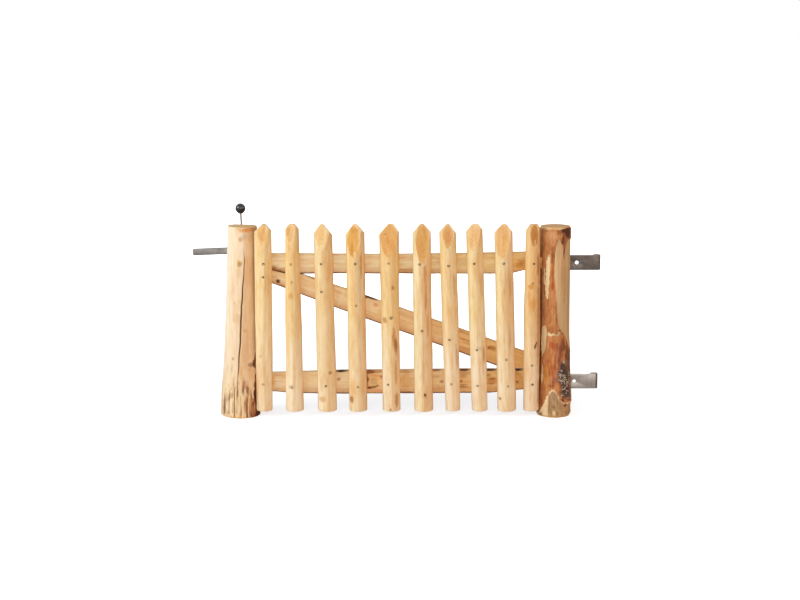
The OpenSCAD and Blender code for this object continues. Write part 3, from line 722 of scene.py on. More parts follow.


# The long dark strip at -66 degrees, down the left edge beside the last picket, is partly darker bark and
# partly painted shadow of that picket
hinge_bark_spots = round_the_post([
    (-22, 790, 26, 34, "D8A070", 0.7), (-40, 822, 12, 10, "A86A36", 0.8), (-14, 800, 12, 18, "DFB080", 0.6),
    (6, 760, 12, 40, "C08A5C", 0.6), (-12, 736, 18, 20, "9C5E30", 0.7), (-30, 752, 12, 16, "C48650", 0.7),
    (-14, 712, 10, 16, "8A4A20", 0.8), (26, 822, 20, 16, "4E281A", 0.95), (46, 808, 30, 34, "4E281A", 0.97),
    (24, 778, 10, 26, "6E3E2C", 0.9), (31, 730, 8, 44, "8A5844", 0.9), (34, 690, 5, 20, "7A4024", 0.8),
    (8, 812, 12, 16, "A06A44", 0.7), (-13, 640, 8, 60, "C4703A", 0.9), (-13, 580, 9, 22, "B8562C", 0.9),
    (-16, 690, 7, 16, "8E4820", 0.7), (-48, 590, 6, 60, "A46030", 0.8), (-44, 690, 6, 20, "D49A74", 0.7),
    (-22, 470, 22, 60, "CC8A50", 0.8), (-12, 450, 8, 60, "DCA468", 0.7), (3, 460, 4, 90, "8E4E22", 0.8),
    (14, 384, 16, 6, "8A5028", 0.8), (24, 372, 9, 9, "A06038", 0.8), (-18, 390, 18, 18, "BC7A46", 0.8),
    (-14, 324, 11, 17, "BE5C30", 0.85), (-6, 314, 12, 20, "C06A3C", 0.8), (-32, 316, 8, 20, "DCA068", 0.7),
    (-28, 280, 16, 22, "D08A4C", 0.8), (-20, 230, 14, 44, "C8783A", 0.9), (-34, 190, 12, 50, "CC8C3C", 0.9),
    (-12, 214, 8, 30, "BC6834", 0.75), (-30, 150, 10, 34, "D09450", 0.85), (-6, 170, 9, 34, "A4644C", 0.85),
    (-2, 230, 8, 40, "B06A48", 0.8), (6, 300, 12, 46, "B47450", 0.8), (18, 300, 9, 46, "9A5A3C", 0.85),
    (28, 320, 12, 46, "8A5030", 0.9), (46, 280, 16, 60, "7E5238", 0.9), (14, 250, 10, 30, "8E5A44", 0.85),
    (26, 215, 16, 36, "54403A", 0.95), (40, 180, 18, 60, "4E3C36", 0.95), (18, 170, 10, 30, "5E463A", 0.9),
    (-14, 142, 16, 9, "9A5430", 0.7), (-38, 110, 12, 40, "B87444", 0.8), (30, 110, 16, 26, "54382C", 0.95),
    (50, 110, 16, 50, "4E3A30", 0.9), (24, 78, 10, 8, "8A4A30", 0.9), (-46, 60, 8, 36, "A45E34", 0.8),
    (28, 205, 20, 48, "54443C", 0.9), (32, 130, 22, 52, "54423A", 0.9), (22, 80, 10, 7, "8A4A30", 0.9),
    (-58, 120, 9, 120, "8E5026", 0.8), (-66, 400, 12, 420, "7A421C", 0.9),
    (78, 190, 28, 120, "5A463A", 0.95), (8, 190, 7, 40, "A4664C", 0.8), (56, 240, 12, 60, "6E4C3A", 0.85)])


def hinge_post_bark_paint(x, y, z):
    """The colour of the bark, browner towards the back."""
    degrees, up = round_from_front(x, y), z * 1000
    colour = blend(linear("D4935A"), linear("9C6A48"), rise(-60, -130, degrees) + rise(70, 140, degrees))
    return laid(colour, hinge_bark_spots, arc(degrees, skin_radius), up)


# Where the lichen grows: degrees, height, half width, half height and thickness
lichen_patches = [
    (32, 246, 9, 10, 0.9), (29, 222, 6, 6, 0.55), (18, 186, 12, 10, 0.8), (32, 182, 16, 14, 0.8),
    (26, 162, 14, 14, 0.75), (42, 150, 14, 26, 0.65), (28, 132, 16, 14, 0.68), (42, 112, 14, 16, 0.62),
    (25, 104, 12, 12, 0.66), (48, 86, 10, 14, 0.58), (62, 170, 14, 40, 0.6), (66, 100, 12, 34, 0.58),
    (13, 172, 9, 20, 0.56), (12, 198, 9, 10, 0.72), (21, 206, 10, 9, 0.8), (120, 180, 40, 60, 0.55),
    (160, 700, 30, 50, 0.5), (-120, 480, 24, 40, 0.5)]


def lichen_here(x, y, z):
    """How thick the lichen is: it grows low down on the side away from the sun."""
    degrees, up = round_from_front(x, y), z * 1000
    here = 0
    for turn, height, half, tall, strength in lichen_patches:
        away = math.hypot(arc(degrees - turn, skin_radius) / half, (up - height) / tall)
        here = max(here, strength * (1 - rise(0.4, 1.3, away)))
    return here


# Chestnut bark, 2 to 3 mm thick, over bare wood that has dried to tan in the air
barked_chestnut, bare_colour, bare_height = wood("chestnut_bark_and_bare_wood", 0.004, "F0DCBC", 0.12,
                                                 "F0E0C4", 0.3, 0.15)
bark_over(barked_chestnut, bare_colour, bare_height, 0.0009)

hinge_post = round_log("hinge_post_barked", hinge_post_radius, post_height, 168, [25, 7])
shape_points(hinge_post, hinge_post_shape)
write_points(hinge_post, "grain", "FLOAT_VECTOR", lambda x, y, z: (x - 0.005, y + 0.004, z + 20))
write_points(hinge_post, "paint", "FLOAT_COLOR", hinge_post_paint)
write_points(hinge_post, "bark_paint", "FLOAT_COLOR", hinge_post_bark_paint)
write_points(hinge_post, "bark_edge", "FLOAT", lambda x, y, z: -peeled_by(
    arc(round_from_front(x, y), skin_radius), z * 1000))
write_points(hinge_post, "lichen", "FLOAT", lichen_here)
hinge_post_knots = round_the_post([(78, 640, 9, 11), (-140, 540, 10, 13)])
write_points(hinge_post, "knot", "FLOAT", lambda x, y, z: nearest_knot(
    hinge_post_knots, arc(round_from_front(x, y), skin_radius), z * 1000))
finish_log(hinge_post, barked_chestnut)
put(hinge_post, (hinge_post_x, post_y, ground_z), (0, hinge_post_lean, 0))
smooth(hinge_post, 40)
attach(hinge_post, "leaf")
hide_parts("hinge_post")

# ---- The two rails
# Half logs, split down the pith and laid with the split face to the front, so that the pickets lie flat on
# it. Each end is hewn up from below to a tenon that goes into its post.
rail_plane_y = -0.117
rail_left = -1.46236
low_rail_left = -1.46354
top_rail_z = 0.575
bottom_rail_z = 0.052
low_rail_rise = math.radians(0.45)
top_rail_radius = 0.0455
bottom_rail_radius = 0.055
along_gate = math.radians(90)
rail_stations = [0, 0.03, 0.09, 0.3, 0.5, 0.74, 0.93, 0.97, 1]
tenon_height = 0.050
tenon_thickness = 0.026
tenon_length = 0.064
tenon_setback = 0.014

# Split chestnut: straight pink-tan grain with the silver shine gone, rings showing as long lines
split_chestnut, split_colour, split_height = wood("split_chestnut_face", 0.0045, "DDB27C", 0.22, "E9CB9C",
                                                  0.36, 0.45)
dress(split_chestnut, split_colour, split_height, 0.0006, 0.75)


def half_log(name, length, radius, stations, girths, under, seed):
    """A half log up the Z axis, its split face at the front and its underside towards +X, cut back to under.
    Gives back the log and how far its face reaches to either side of the axis."""
    log = round_log(name, radius, length, 80, [15, 15])

    def reach(z, below):
        whole = radius * girth_at(z / length, stations, girths)
        return min(whole, under(z)) if below else whole

    def shape(x, y, z):
        turn = math.atan2(y, x)
        girth = girth_at(z / length, stations, girths)
        girth *= 1 + 0.015 * ripple(2 * x / radius + seed, 2 * y / radius, z * 5)
        girth *= 1 + 0.012 * ripple(0.5 * x / radius, seed, z * 18)
        x, y = radius * girth * math.cos(turn), radius * girth * math.sin(turn)
        cut = under(z) - 0.0010 * (1 + ripple(seed, 4, z * 45))
        x = min(x, cut)
        face = 0.0006 * (1 + ripple(x * 30, seed, z * 9))
        return x, max(y, face), z

    shape_points(log, shape)
    return log, reach


def hewn_under(length, radius, start, slope):
    """How far below the axis the underside lies: level, and up towards the tenon at each end."""
    def under(z):
        near = min(z, length - z)
        return min(radius, max(tenon_height / 2,
                               radius - max(0, start - near) * math.tan(math.radians(slope))))
    return under


def block(name, size, middle, turn=0):
    """A square-edged block round a middle, turned about the Z axis, with its place and size in its mesh."""
    bpy.ops.object.select_all(action="DESELECT")
    bpy.ops.mesh.primitive_cube_add(size=1, location=middle, rotation=(0, 0, turn))
    made = bpy.context.object
    made.name = name
    made.scale = size
    bpy.ops.object.transform_apply(location=True, rotation=True, scale=True)
    return made


def wear(piece, width, steps, degrees=30):
    """Rounds the edges of a piece that are sharper than so many degrees."""
    hold(piece)
    worn = piece.modifiers.new("worn", "BEVEL")
    worn.width = width
    worn.segments = steps
    worn.limit_method = "ANGLE"
    worn.angle_limit = math.radians(degrees)
    bpy.ops.object.modifier_apply(modifier="worn")


def join_to(piece, part):
    """Makes a part one mesh with a piece."""
    hold(part)
    piece.select_set(True)
    bpy.context.view_layer.objects.active = piece
    bpy.ops.object.join()


def add_tenons(rail, length):
    """Joins the two tenons to a rail: square blocks with worn edges, set back from the split face."""
    for place in (-tenon_length / 2, length + tenon_length / 2):
        tenon = block("tenon", (tenon_height - 0.001, tenon_thickness, tenon_length + 0.002),
                      (0, tenon_setback + tenon_thickness / 2, place))
        wear(tenon, 0.0025, 2)
        join_to(rail, tenon)


def rail_finish(rail, reach, base, darker_end, spots, knots, lift):
    """Colours a rail along its length, then lays its spots and knots, both in millimetres, up and along."""
    length = max(point.co.z for point in rail.data.vertices) * 1000

    def paint(x, y, z):
        colour = blend(linear(base), linear(darker_end), rise(0.35, 1, z * 1000 / length))
        colour = blend(colour, linear("C99A66"), 0.55 * rise(0.004, 0.02, y))
        # What bast is left darkens both edges of the face; the lower edge is darkened more, and that extra is
        # painted shade under the rail
        near_edge = abs(x) / reach(z, x > 0)
        colour = blend(colour, linear("D2905C"), 0.5 * rise(0.1, 0.95, near_edge) * (1 if x > 0 else 0.2))
        colour = blend(colour, linear("6B4426"), rise(0.85, 0.95, near_edge) * (0.9 if x > 0 else 0.35))
        # The spots lie on the split face and fade out as the rail turns round
        return blend(laid(colour, spots, -x * 1000, z * 1000), colour, rise(0.003, 0.01, y))

    write_points(rail, "grain", "FLOAT_VECTOR", lambda x, y, z: (x + 0.004 * math.sin(z * 3), y, z + lift))
    write_points(rail, "paint", "FLOAT_COLOR", paint)
    write_points(rail, "knot", "FLOAT", lambda x, y, z: nearest_knot(
        knots, -x * 1000, z * 1000) + rise(0.004, 0.02, y))
    finish_log(rail, split_chestnut)


top_rail_length = 1.20134
top_rail_girth = [0.98, 1.01, 1.02, 0.95, 0.96, 1.02, 1.15, 1.17, 1.13]
top_under = hewn_under(top_rail_length, top_rail_radius, 0.125, 14)
top_rail, top_reach = half_log("top_rail_split", top_rail_length, top_rail_radius, rail_stations,
                               top_rail_girth, top_under, 3)
add_tenons(top_rail, top_rail_length)
# Of the top rail's spots, the four dark ones at the latch end of the lower edge and the two soft brown ones
# above them are painted shade where the hewn underside turns away from the light; the two long dark lines
# along the lower edge are partly bast and partly painted shade
rail_finish(top_rail, top_reach, "FFF0C6", "FCE29C", [
    (-26, 60, 11, 18, "5A2C0C", 0.95), (-33, 84, 9, 20, "5A2C0C", 0.95), (-39, 108, 8, 20, "54290C", 0.95),
    (-43, 136, 7, 30, "6A3C18", 0.9), (-45, 300, 8, 260, "5E3420", 0.9), (-44, 620, 7, 120, "6E4630", 0.8),
    (-16, 62, 14, 26, "C08850", 0.6), (-26, 96, 10, 34, "C48C56", 0.5), (-6, 1122, 26, 30, "E3A24C", 0.9),
    (12, 1150, 20, 40, "D39A58", 0.6), (30, 60, 12, 60, "E4B47C", 0.4), (10, 190, 24, 60, "FADAB0", 0.5),
    (20, 620, 14, 120, "F2C79A", 0.4), (-30, 640, 8, 150, "C98F5C", 0.6), (5, 830, 22, 90, "E2B47A", 0.5),
    (-8, 420, 20, 60, "ECBB8C", 0.5)], [(-4, 1124, 9, 8), (14, 560, 6, 7)], 40)
put(top_rail, (rail_left, rail_plane_y, top_rail_z), (0, along_gate, 0))
smooth(top_rail, 35)
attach(top_rail, "leaf")
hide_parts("top_rail")

bottom_rail_length = 1.19515
bottom_rail_girth = [0.8, 0.84, 0.87, 0.97, 0.98, 0.99, 0.97, 0.975, 0.95]
bottom_under = hewn_under(bottom_rail_length, bottom_rail_radius, 0.2, 5.5)
bottom_rail, bottom_reach = half_log("bottom_rail_split", bottom_rail_length, bottom_rail_radius,
                                     rail_stations, bottom_rail_girth, bottom_under, 8)
add_tenons(bottom_rail, bottom_rail_length)
rail_finish(bottom_rail, bottom_reach, "FFEABE", "F3CA80", [
    (4, 46, 30, 22, "E8A850", 0.7), (-4, 84, 22, 16, "FBE8CC", 0.8), (34, 60, 10, 50, "E4B888", 0.6),
    (9, 268, 12, 9, "E0B868", 0.8), (11, 340, 10, 8, "A87442", 0.7), (48, 350, 6, 36, "1E1410", 1),
    (0, 495, 62, 46, "FAC880", 0.7), (43, 478, 11, 30, "8A5226", 0.9), (45, 515, 8, 20, "C08850", 0.8),
    (26, 500, 8, 28, "E48C44", 0.5), (6, 463, 40, 7, "84481A", 0.9), (10, 468, 9, 8, "7A4420", 0.7),
    (-2, 494, 17, 18, "CCA870", 0.6), (15, 494, 3.4, 17, "F4CE92", 0.6), (-13, 502, 3.4, 15, "F4CE92", 0.6),
    (-28, 474, 7, 15, "6E3C12", 0.95), (-24, 493, 6, 14, "7E481A", 0.9), (-19, 508, 5, 9, "84501E", 0.85),
    (22, 525, 8, 7, "A06234", 0.8), (-41, 505, 7, 42, "E8A480", 0.8), (43, 636, 9, 36, "C49A78", 0.7),
    (0, 636, 50, 36, "E2AC66", 0.6), (-50, 636, 6, 36, "7A5636", 0.85), (-2, 788, 8, 10, "8E5A2C", 0.8),
    (20, 740, 6, 60, "B88450", 0.5), (0, 884, 44, 26, "F0BC78", 0.5), (-17, 882, 4, 22, "94602E", 0.8),
    (-27, 884, 4, 22, "94602E", 0.8), (-2, 872, 8, 8, "8E5A2C", 0.8), (20, 880, 9, 22, "C89058", 0.6),
    (34, 884, 10, 34, "B47C46", 0.5), (49, 760, 6, 34, "8A5A38", 0.8), (49, 882, 7, 32, "4E2A18", 0.95),
    (0, 1004, 20, 26, "D08C44", 0.7), (24, 988, 8, 16, "96702E", 0.6), (8, 1004, 5, 30, "A0662E", 0.7),
    (-14, 996, 4, 26, "A86A34", 0.6), (48, 994, 8, 36, "4A2A18", 0.95), (48, 1114, 8, 30, "2A1408", 0.97),
    (30, 1112, 10, 24, "B07A40", 0.6), (-14, 1106, 6, 6, "6A4018", 0.85), (0, 1120, 26, 40, "DCA25C", 0.5)],
    [], 44)
put(bottom_rail, (low_rail_left, rail_plane_y, bottom_rail_z), (0, along_gate - low_rail_rise, 0))
smooth(bottom_rail, 35)
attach(bottom_rail, "leaf")
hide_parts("bottom_rail")

# ---- The brace
# One more half log, laid from high at the latch post to low at the hinge post, with both ends hewn to fit
# the rails. Two pale scrapes cross it, and its lower edge is ragged at the latch end.
brace_radius = 0.051
brace_top_z = 0.553
brace_foot_z = 0.117
brace_left = -1.4622
brace_right = -0.2651
brace_slope = math.atan2(brace_top_z - brace_foot_z, top_rail_length)
brace_length = top_rail_length / math.cos(brace_slope)
brace, brace_reach = half_log("brace_split", brace_length, brace_radius, [0, 0.3, 1], [0.78, 0.94, 1.02],
                              lambda z: 1, 13)
rail_finish(brace, brace_reach, "FFE6B6", "F4C87E", [
    (0, 374, 46, 1.8, "FFF4DE", 0.75), (-24, 806, 12, 2, "FFF0D8", 0.6), (-20, 815, 14, 2, "FFF0D8", 0.5),
    (-29, 824, 10, 2, "FFF0D8", 0.6), (45, 494, 6, 36, "5E3C2A", 0.95), (40, 474, 6, 10, "6A4426", 0.8),
    (21, 524, 11, 14, "E09A50", 0.7), (11, 1050, 7, 8, "6A4020", 0.85), (14, 1062, 12, 24, "B87C3C", 0.7),
    (0, 250, 14, 90, "F4CFA0", 0.4), (20, 700, 10, 90, "DDA86E", 0.5), (-10, 640, 12, 80, "F0C490", 0.4),
    (-36, 64, 6, 16, "B09C84", 0.8), (-23, 96, 9, 11, "3A2A0E", 0.95), (-38, 124, 7, 20, "9A846C", 0.7),
    (-10, 70, 10, 26, "DCB884", 0.5), (40, 250, 5, 60, "8A6040", 0.7), (-44, 300, 6, 60, "7A5238", 0.7),
    (20, 60, 14, 40, "D8A468", 0.5), (-30, 960, 12, 60, "C98F50", 0.5), (10, 970, 6, 70, "C48848", 0.6),
    (36, 900, 8, 60, "B88048", 0.5), (-2, 990, 5, 60, "B87838", 0.6)], [], 48)
put(brace, (rail_left, rail_plane_y, brace_top_z), (0, along_gate + brace_slope, 0))


def brace_between_rails(x, y, z):
    """Keeps the brace under the top rail, above the bottom rail and between the posts."""
    top_rail_under = top_rail_z - top_under(max(0.0001, x - rail_left))
    bottom_rail_axis = bottom_rail_z + (x - low_rail_left) * math.tan(low_rail_rise)
    z = min(z, top_rail_under - 0.0012)
    z = max(z, bottom_rail_axis + bottom_rail_radius + 0.0003)
    return min(max(x, brace_left), brace_right), y, z


shape_points(brace, brace_between_rails)
smooth(brace, 35)
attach(brace, "leaf")
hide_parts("brace")

# ---- The pickets
# Ten staves of coppiced chestnut, each half a pole, shaved smooth on the round side with a drawknife. Each
# point is axed with a bevel at each side and one long facet down the front, so no two are alike.
picket_length = 0.817
picket_width = 0.080
picket_foot_z = -0.070
picket_count = 10
leaf_span = 1.372
first_picket = 0.109
last_picket = 0.1026
picket_pitch = (leaf_span - first_picket - last_picket) / (picket_count - 1)
picket_shift = [0, 0.023, 0.132, 0.171, 0.295, 0.38, 0.365, 0.279, 0.186, 0]
picket_x = [latch_post_x + first_picket + (i + shift) * picket_pitch
            for i, shift in enumerate(picket_shift)]
picket_lean = [0.4, -0.17, -1.03, -0.82, -0.77, -0.87, -2.08, -2.33, -1.79, -0.3]
foot_girth = [0.89, 0.98, 1.05, 1, 0.98, 1.04, 0.81, 0.87, 1.03, 0.84]
middle_girth = [0.96, 0.9, 1.04, 0.99, 1, 1.02, 0.92, 0.91, 1.02, 0.91]
top_girth = [0.94, 0.735, 1, 1.05, 1.08, 1, 0.91, 0.9, 0.98, 0.74]
tip_left = [0.025, 0.163, 0.113, 0.062, 0.025, 0.087, 0.062, 0.113, 0.05, 0.138]
tip_right = [0.138, 0.175, 0.05, 0.113, 0.237, 0.125, 0.113, 0.237, 0.163, 0.263]
left_drop = [0.438, 0.275, 0.5, 0.588, 0.562, 0.5, 0.438, 0.388, 0.438, 0.325]
right_drop = [0.362, 0.287, 0.6, 0.5, 0.45, 0.438, 0.5, 0.338, 0.45, 0.225]
tip_thickness = [0.025, 0.019, 0.013, 0.010, 0.010, 0.015, 0.021, 0.013, 0.011, 0.020]
facet_drop = [1.25, 1.375, 1.375, 1.875, 1.812, 2.188, 1.4, 1.375, 1.875, 1.188]
facet_turn = [3, -12, -14, -16, -5, 6, 4, -14, -12, 9]

# The wood of each picket, and of its facet
picket_colour = ["FAE5B3", "FAE0A6", "F9EBC0", "F8E2A9", "F8E2AD", "FCF2CB", "FBE4AF", "FBE8B3", "FBEBBA",
                 "FADDA4"]
facet_colour = ["FCD999", "F4D296", "F8DCA2", "ECBC66", "EEC078", "EABC74", "ECBE7A", "F8D8A0", "F4CC8C",
                "CE9A58"]
# Painted shade: a tint for each picket that darkens its side away from the light, and how much each one pales
# towards its foot
shade_tint = ["FFFFFF", "F7F8FF", "F7E9DA", "F7F1F7", "FAF1E3", "F0D9C8", "F6F7FF", "F7F6FE", "F3EAEE",
              "F0E5DE"]
foot_paling = [0.8, 0.9, 0.6, 0.55, 0.8, 0.3, 1, 1, 0.7, 1]
# The axe left a long oval down the front of each point: its middle, half width and half height in mm
facet_oval = [(3, 768, 21, 46), (-6, 775, 15, 38), (-6, 768, 27, 46), (-6, 742, 27, 74), (-2, 742, 42, 80),
              (2, 732, 31, 84),
              (0, 762, 24, 50), (-2, 752, 34, 66), (-6, 744, 32, 76), (5, 768, 18, 50)]
# Stains: millimetres across from the middle and up from the foot, half sizes, colour and strength
# The first stain of the first picket, down the left of its foot, is painted shadow of the latch post
picket_stains = [
    [(-28, 100, 9, 120, "E4C090", 0.6), (-13, 246, 8, 9, "D9A05C", 0.5), (-38, 260, 6, 60, "B9843C", 0.5),
     (20, 560, 14, 60, "E9BC84", 0.5), (0, 380, 20, 80, "FCE6B8", 0.5), (-36, 330, 5, 60, "C8924E", 0.5)],
    [(-8, 508, 12, 16, "D9A458", 0.65), (6, 660, 14, 60, "F4C882", 0.5), (8, 330, 10, 90, "E9D08E", 0.5),
     (-12, 110, 12, 12, "B99D7A", 0.5), (-20, 300, 8, 120, "F0D89C", 0.4)],
    [(18, 173, 9, 10, "C98F4E", 0.6), (-19, 56, 16, 16, "D9A052", 0.6), (-14, 560, 8, 40, "DDB47C", 0.4),
     (24, 620, 10, 70, "E4B478", 0.5), (0, 400, 20, 100, "FBE0B4", 0.4), (-22, 120, 10, 40, "DDB474", 0.4)],
    [(-14, 560, 9, 130, "F2C080", 0.5), (-20, 300, 8, 120, "F4C484", 0.5), (15, 560, 6, 110, "D8CDB0", 0.7),
     (12, 380, 5, 70, "DCCBA6", 0.6), (-27, 54, 9, 18, "A8622A", 0.85), (-22, 100, 12, 60, "EDB468", 0.6),
     (24, 640, 5, 60, "C08848", 0.6), (24, 110, 10, 60, "EAB878", 0.5)],
    [(14, 545, 8, 11, "B07838", 0.75), (-23, 404, 11, 16, "B8863C", 0.75), (5, 416, 9, 10, "A8844C", 0.7),
     (15, 330, 9, 50, "C9884A", 0.75), (22, 290, 8, 44, "A4622C", 0.85), (20, 180, 7, 70, "CE9054", 0.6),
     (22, 50, 9, 40, "B87440", 0.7), (-5, 9, 7, 6, "7A6A34", 0.7), (4, 690, 22, 50, "EFC07C", 0.4)],
    [(12, 600, 8, 50, "C98A48", 0.65), (14, 500, 7, 70, "C88A4C", 0.65), (-2, 540, 8, 80, "E4B26C", 0.4),
     (14, 60, 16, 50, "E4B894", 0.5), (0, 180, 7, 60, "E2B27C", 0.5), (6, 70, 7, 8, "8A6A3A", 0.6),
     (22, 380, 8, 60, "C08A50", 0.5)],
    [(20, 560, 8, 60, "D09A5C", 0.5), (-6, 640, 14, 40, "F2CC94", 0.5), (24, 240, 8, 60, "C48E5C", 0.5),
     (0, 420, 16, 100, "FADDA8", 0.4)],
    [(22, 560, 9, 60, "CF985C", 0.5), (-6, 640, 14, 40, "F4CE94", 0.5), (24, 250, 7, 40, "B0783C", 0.6),
     (4, 280, 14, 14, "D4B480", 0.5), (-12, 430, 10, 60, "F6D69C", 0.4)],
    [(-30, 58, 7, 9, "A88450", 0.7), (20, 560, 10, 70, "CE9A62", 0.5), (0, 560, 12, 50, "E6B98A", 0.4),
     (0, 250, 16, 40, "F4D6A4", 0.4), (16, 330, 8, 60, "D2A878", 0.5)],
    [(-8, 549, 14, 16, "DC9A44", 0.85), (1, 471, 14, 34, "E2A452", 0.75), (-14, 500, 8, 50, "EBB068", 0.7),
     (0, 564, 5, 5, "8A5A28", 0.8), (11, 284, 4, 8, "4A2E16", 0.9), (14, 292, 4, 9, "2E1C10", 0.95),
     (18, 301, 3.5, 9, "3A2412", 0.95), (26, 400, 8, 260, "B07844", 0.6), (22, 640, 8, 60, "B07840", 0.7),
     (28, 80, 6, 80, "B08050", 0.5)]]
# On the second, third, eighth and ninth points, the darker strips 14 to 31 mm right of the middle are painted
# shade on the right bevels, which turn away from the light
facet_stains = [
    [(-2, 770, 14, 30, "E9B573", 0.6)],
    [(-18, 785, 12, 22, "E2A95F", 0.6), (14, 740, 6, 40, "DDA866", 0.6)],
    [(-8, 780, 20, 18, "F4CF8C", 0.5), (24, 740, 8, 50, "E2B57C", 0.6)],
    [(0, 790, 22, 14, "DDA052", 0.5), (-12, 715, 8, 34, "CF8A3E", 0.7), (16, 740, 5, 60, "E4CFA6", 0.7),
     (30, 750, 6, 50, "A8622C", 0.8)],
    [(-17, 774, 4, 4, "A8452A", 0.8), (-14, 790, 14, 8, "F0BC80", 0.6), (4, 740, 20, 30, "E8A95E", 0.5)],
    [(4, 740, 12, 50, "E0B060", 0.5), (24, 740, 6, 60, "F0CC94", 0.5)],
    [(0, 760, 14, 28, "DCA262", 0.6)], [(-6, 780, 16, 16, "F6D294", 0.5), (26, 740, 7, 60, "D9AC70", 0.6)],
    [(0, 775, 16, 30, "EFB97C", 0.5), (31, 740, 6, 60, "DDAE66", 0.7)],
    [(4, 775, 11, 26, "C88A48", 0.7), (-20, 770, 8, 20, "F2C98A", 0.6)]]
picket_knots = [
    [], [], [(18, 173, 7, 8)], [(-27, 54, 7, 13)], [],
    [(6, 74, 6, 6)], [], [], [(-30, 58, 5, 7)], [(0, 564, 5, 6)]]

# Drawknifed sapwood: pale cream-yellow, nearly smooth, with faint fibres and the odd orange streak of bast
drawknifed_chestnut, shaved_colour, shaved_height = wood("drawknifed_chestnut_sapwood", 0.004, "F0DAB0",
                                                         0.2, "F1DCB6", 0.4, 0.42)
dress(drawknifed_chestnut, shaved_colour, shaved_height, 0.0004, 0.62)

# Axe-cut chestnut: the cut runs across the fibres and rings, so it is deeper in colour with clear arches
axe_cut_chestnut, cut_colour, cut_height = wood("axe_cut_chestnut", 0.0042, "E2BE8A", 0.22, "EFD2A4", 0.4,
                                                0.35, "cut_paint")
dress(axe_cut_chestnut, cut_colour, cut_height, 0.0006, 0.66)
stave = round_log("stave", picket_width / 2, picket_length, 72, [15, 12])


def picket_shape(i):
    """The shape of one picket before its point is axed: a tapered half pole with the drawknife's flats."""
    flats = 11

    def shape(x, y, z):
        turn = math.atan2(x, -y)
        girth = girth_at(z / picket_length, [0, 0.5, 1], [foot_girth[i], middle_girth[i], top_girth[i]])
        girth *= 1 + 0.022 * ripple(1.2 * math.sin(turn) + i, 0.6, z * 7)
        girth *= 1 + 0.010 * ripple(2 * math.sin(turn) + i, 7, z * 22)
        # Flats of the drawknife, about 20 mm wide, that wander in and out
        place = turn * flats / math.tau + 0.4 * i + 0.8 * ripple(i, 2, z * 2.5)
        corner = math.cos(math.pi / flats) / math.cos(math.tau / flats * (place - math.floor(place) - 0.5))
        girth *= 1 - (0.7 - 0.5 * rise(0.58, 0.68, z)) * (1 - corner)
        for k in picket_knots[i]:
            away = math.hypot((x * 1000 - k[0]) / (k[2] * 1.8), (z * 1000 - k[1]) / (k[3] * 2))
            girth *= 1 + 0.02 * math.exp(-away * away)
        radius = picket_width / 2 * girth
        y = -radius * math.cos(turn)
        back = -0.0003 - 0.0005 * (1 + ripple(x * 40 + i, 3, z * 8))
        # The sawn foot is worn round its lower edge
        inset = 0.0015 * rise(0.004, 0, z)
        return (radius - inset) * math.sin(turn), min(y + inset, back), z
    return shape


def cut_away(place, away, cuts):
    """Cuts off what lies on the away side of a plane from the piece being held, and closes the cut."""
    bpy.ops.object.mode_set(mode="EDIT")
    bpy.ops.mesh.select_all(action="SELECT")
    bpy.ops.mesh.bisect(plane_co=place, plane_no=away, use_fill=True, clear_outer=True)
    bpy.ops.object.mode_set(mode="OBJECT")
    cuts.append((Vector(place), Vector(away)))


def is_axed(middle, normal, cuts):
    """Whether a face lies in the plane of one of the cuts."""
    return any(normal.dot(away) > 0.9999 and abs((middle - place).dot(away)) < 0.0004
               for place, away in cuts)


def score_axed_faces(piece, cuts):
    """Scores the axed faces with a grid of edges 5 mm apart, so that their colour can change inside them."""
    shape = bmesh.new()
    shape.from_mesh(piece.data)
    axed = [face for face in shape.faces if is_axed(face.calc_center_median(), face.normal, cuts)]
    across = [((0.005 * k, 0, 0), (1, 0, 0)) for k in range(-8, 9)]
    along = [((0, 0, picket_length - 0.0023 - 0.005 * k), (0, 0, 1)) for k in range(38)]
    for place, away in across + along:
        parts = axed + list({part for face in axed for part in list(face.edges) + list(face.verts)})
        scored = bmesh.ops.bisect_plane(shape, geom=parts, dist=0.00001, plane_co=place, plane_no=away)
        axed = [part for part in scored["geom"] if isinstance(part, bmesh.types.BMFace)]
    shape.to_mesh(piece.data)
    shape.free()


def copy_of(piece, name):
    """A copy with its own mesh."""
    made = piece.copy()
    made.data = piece.data.copy()
    made.name = name
    bpy.context.collection.objects.link(made)
    return made


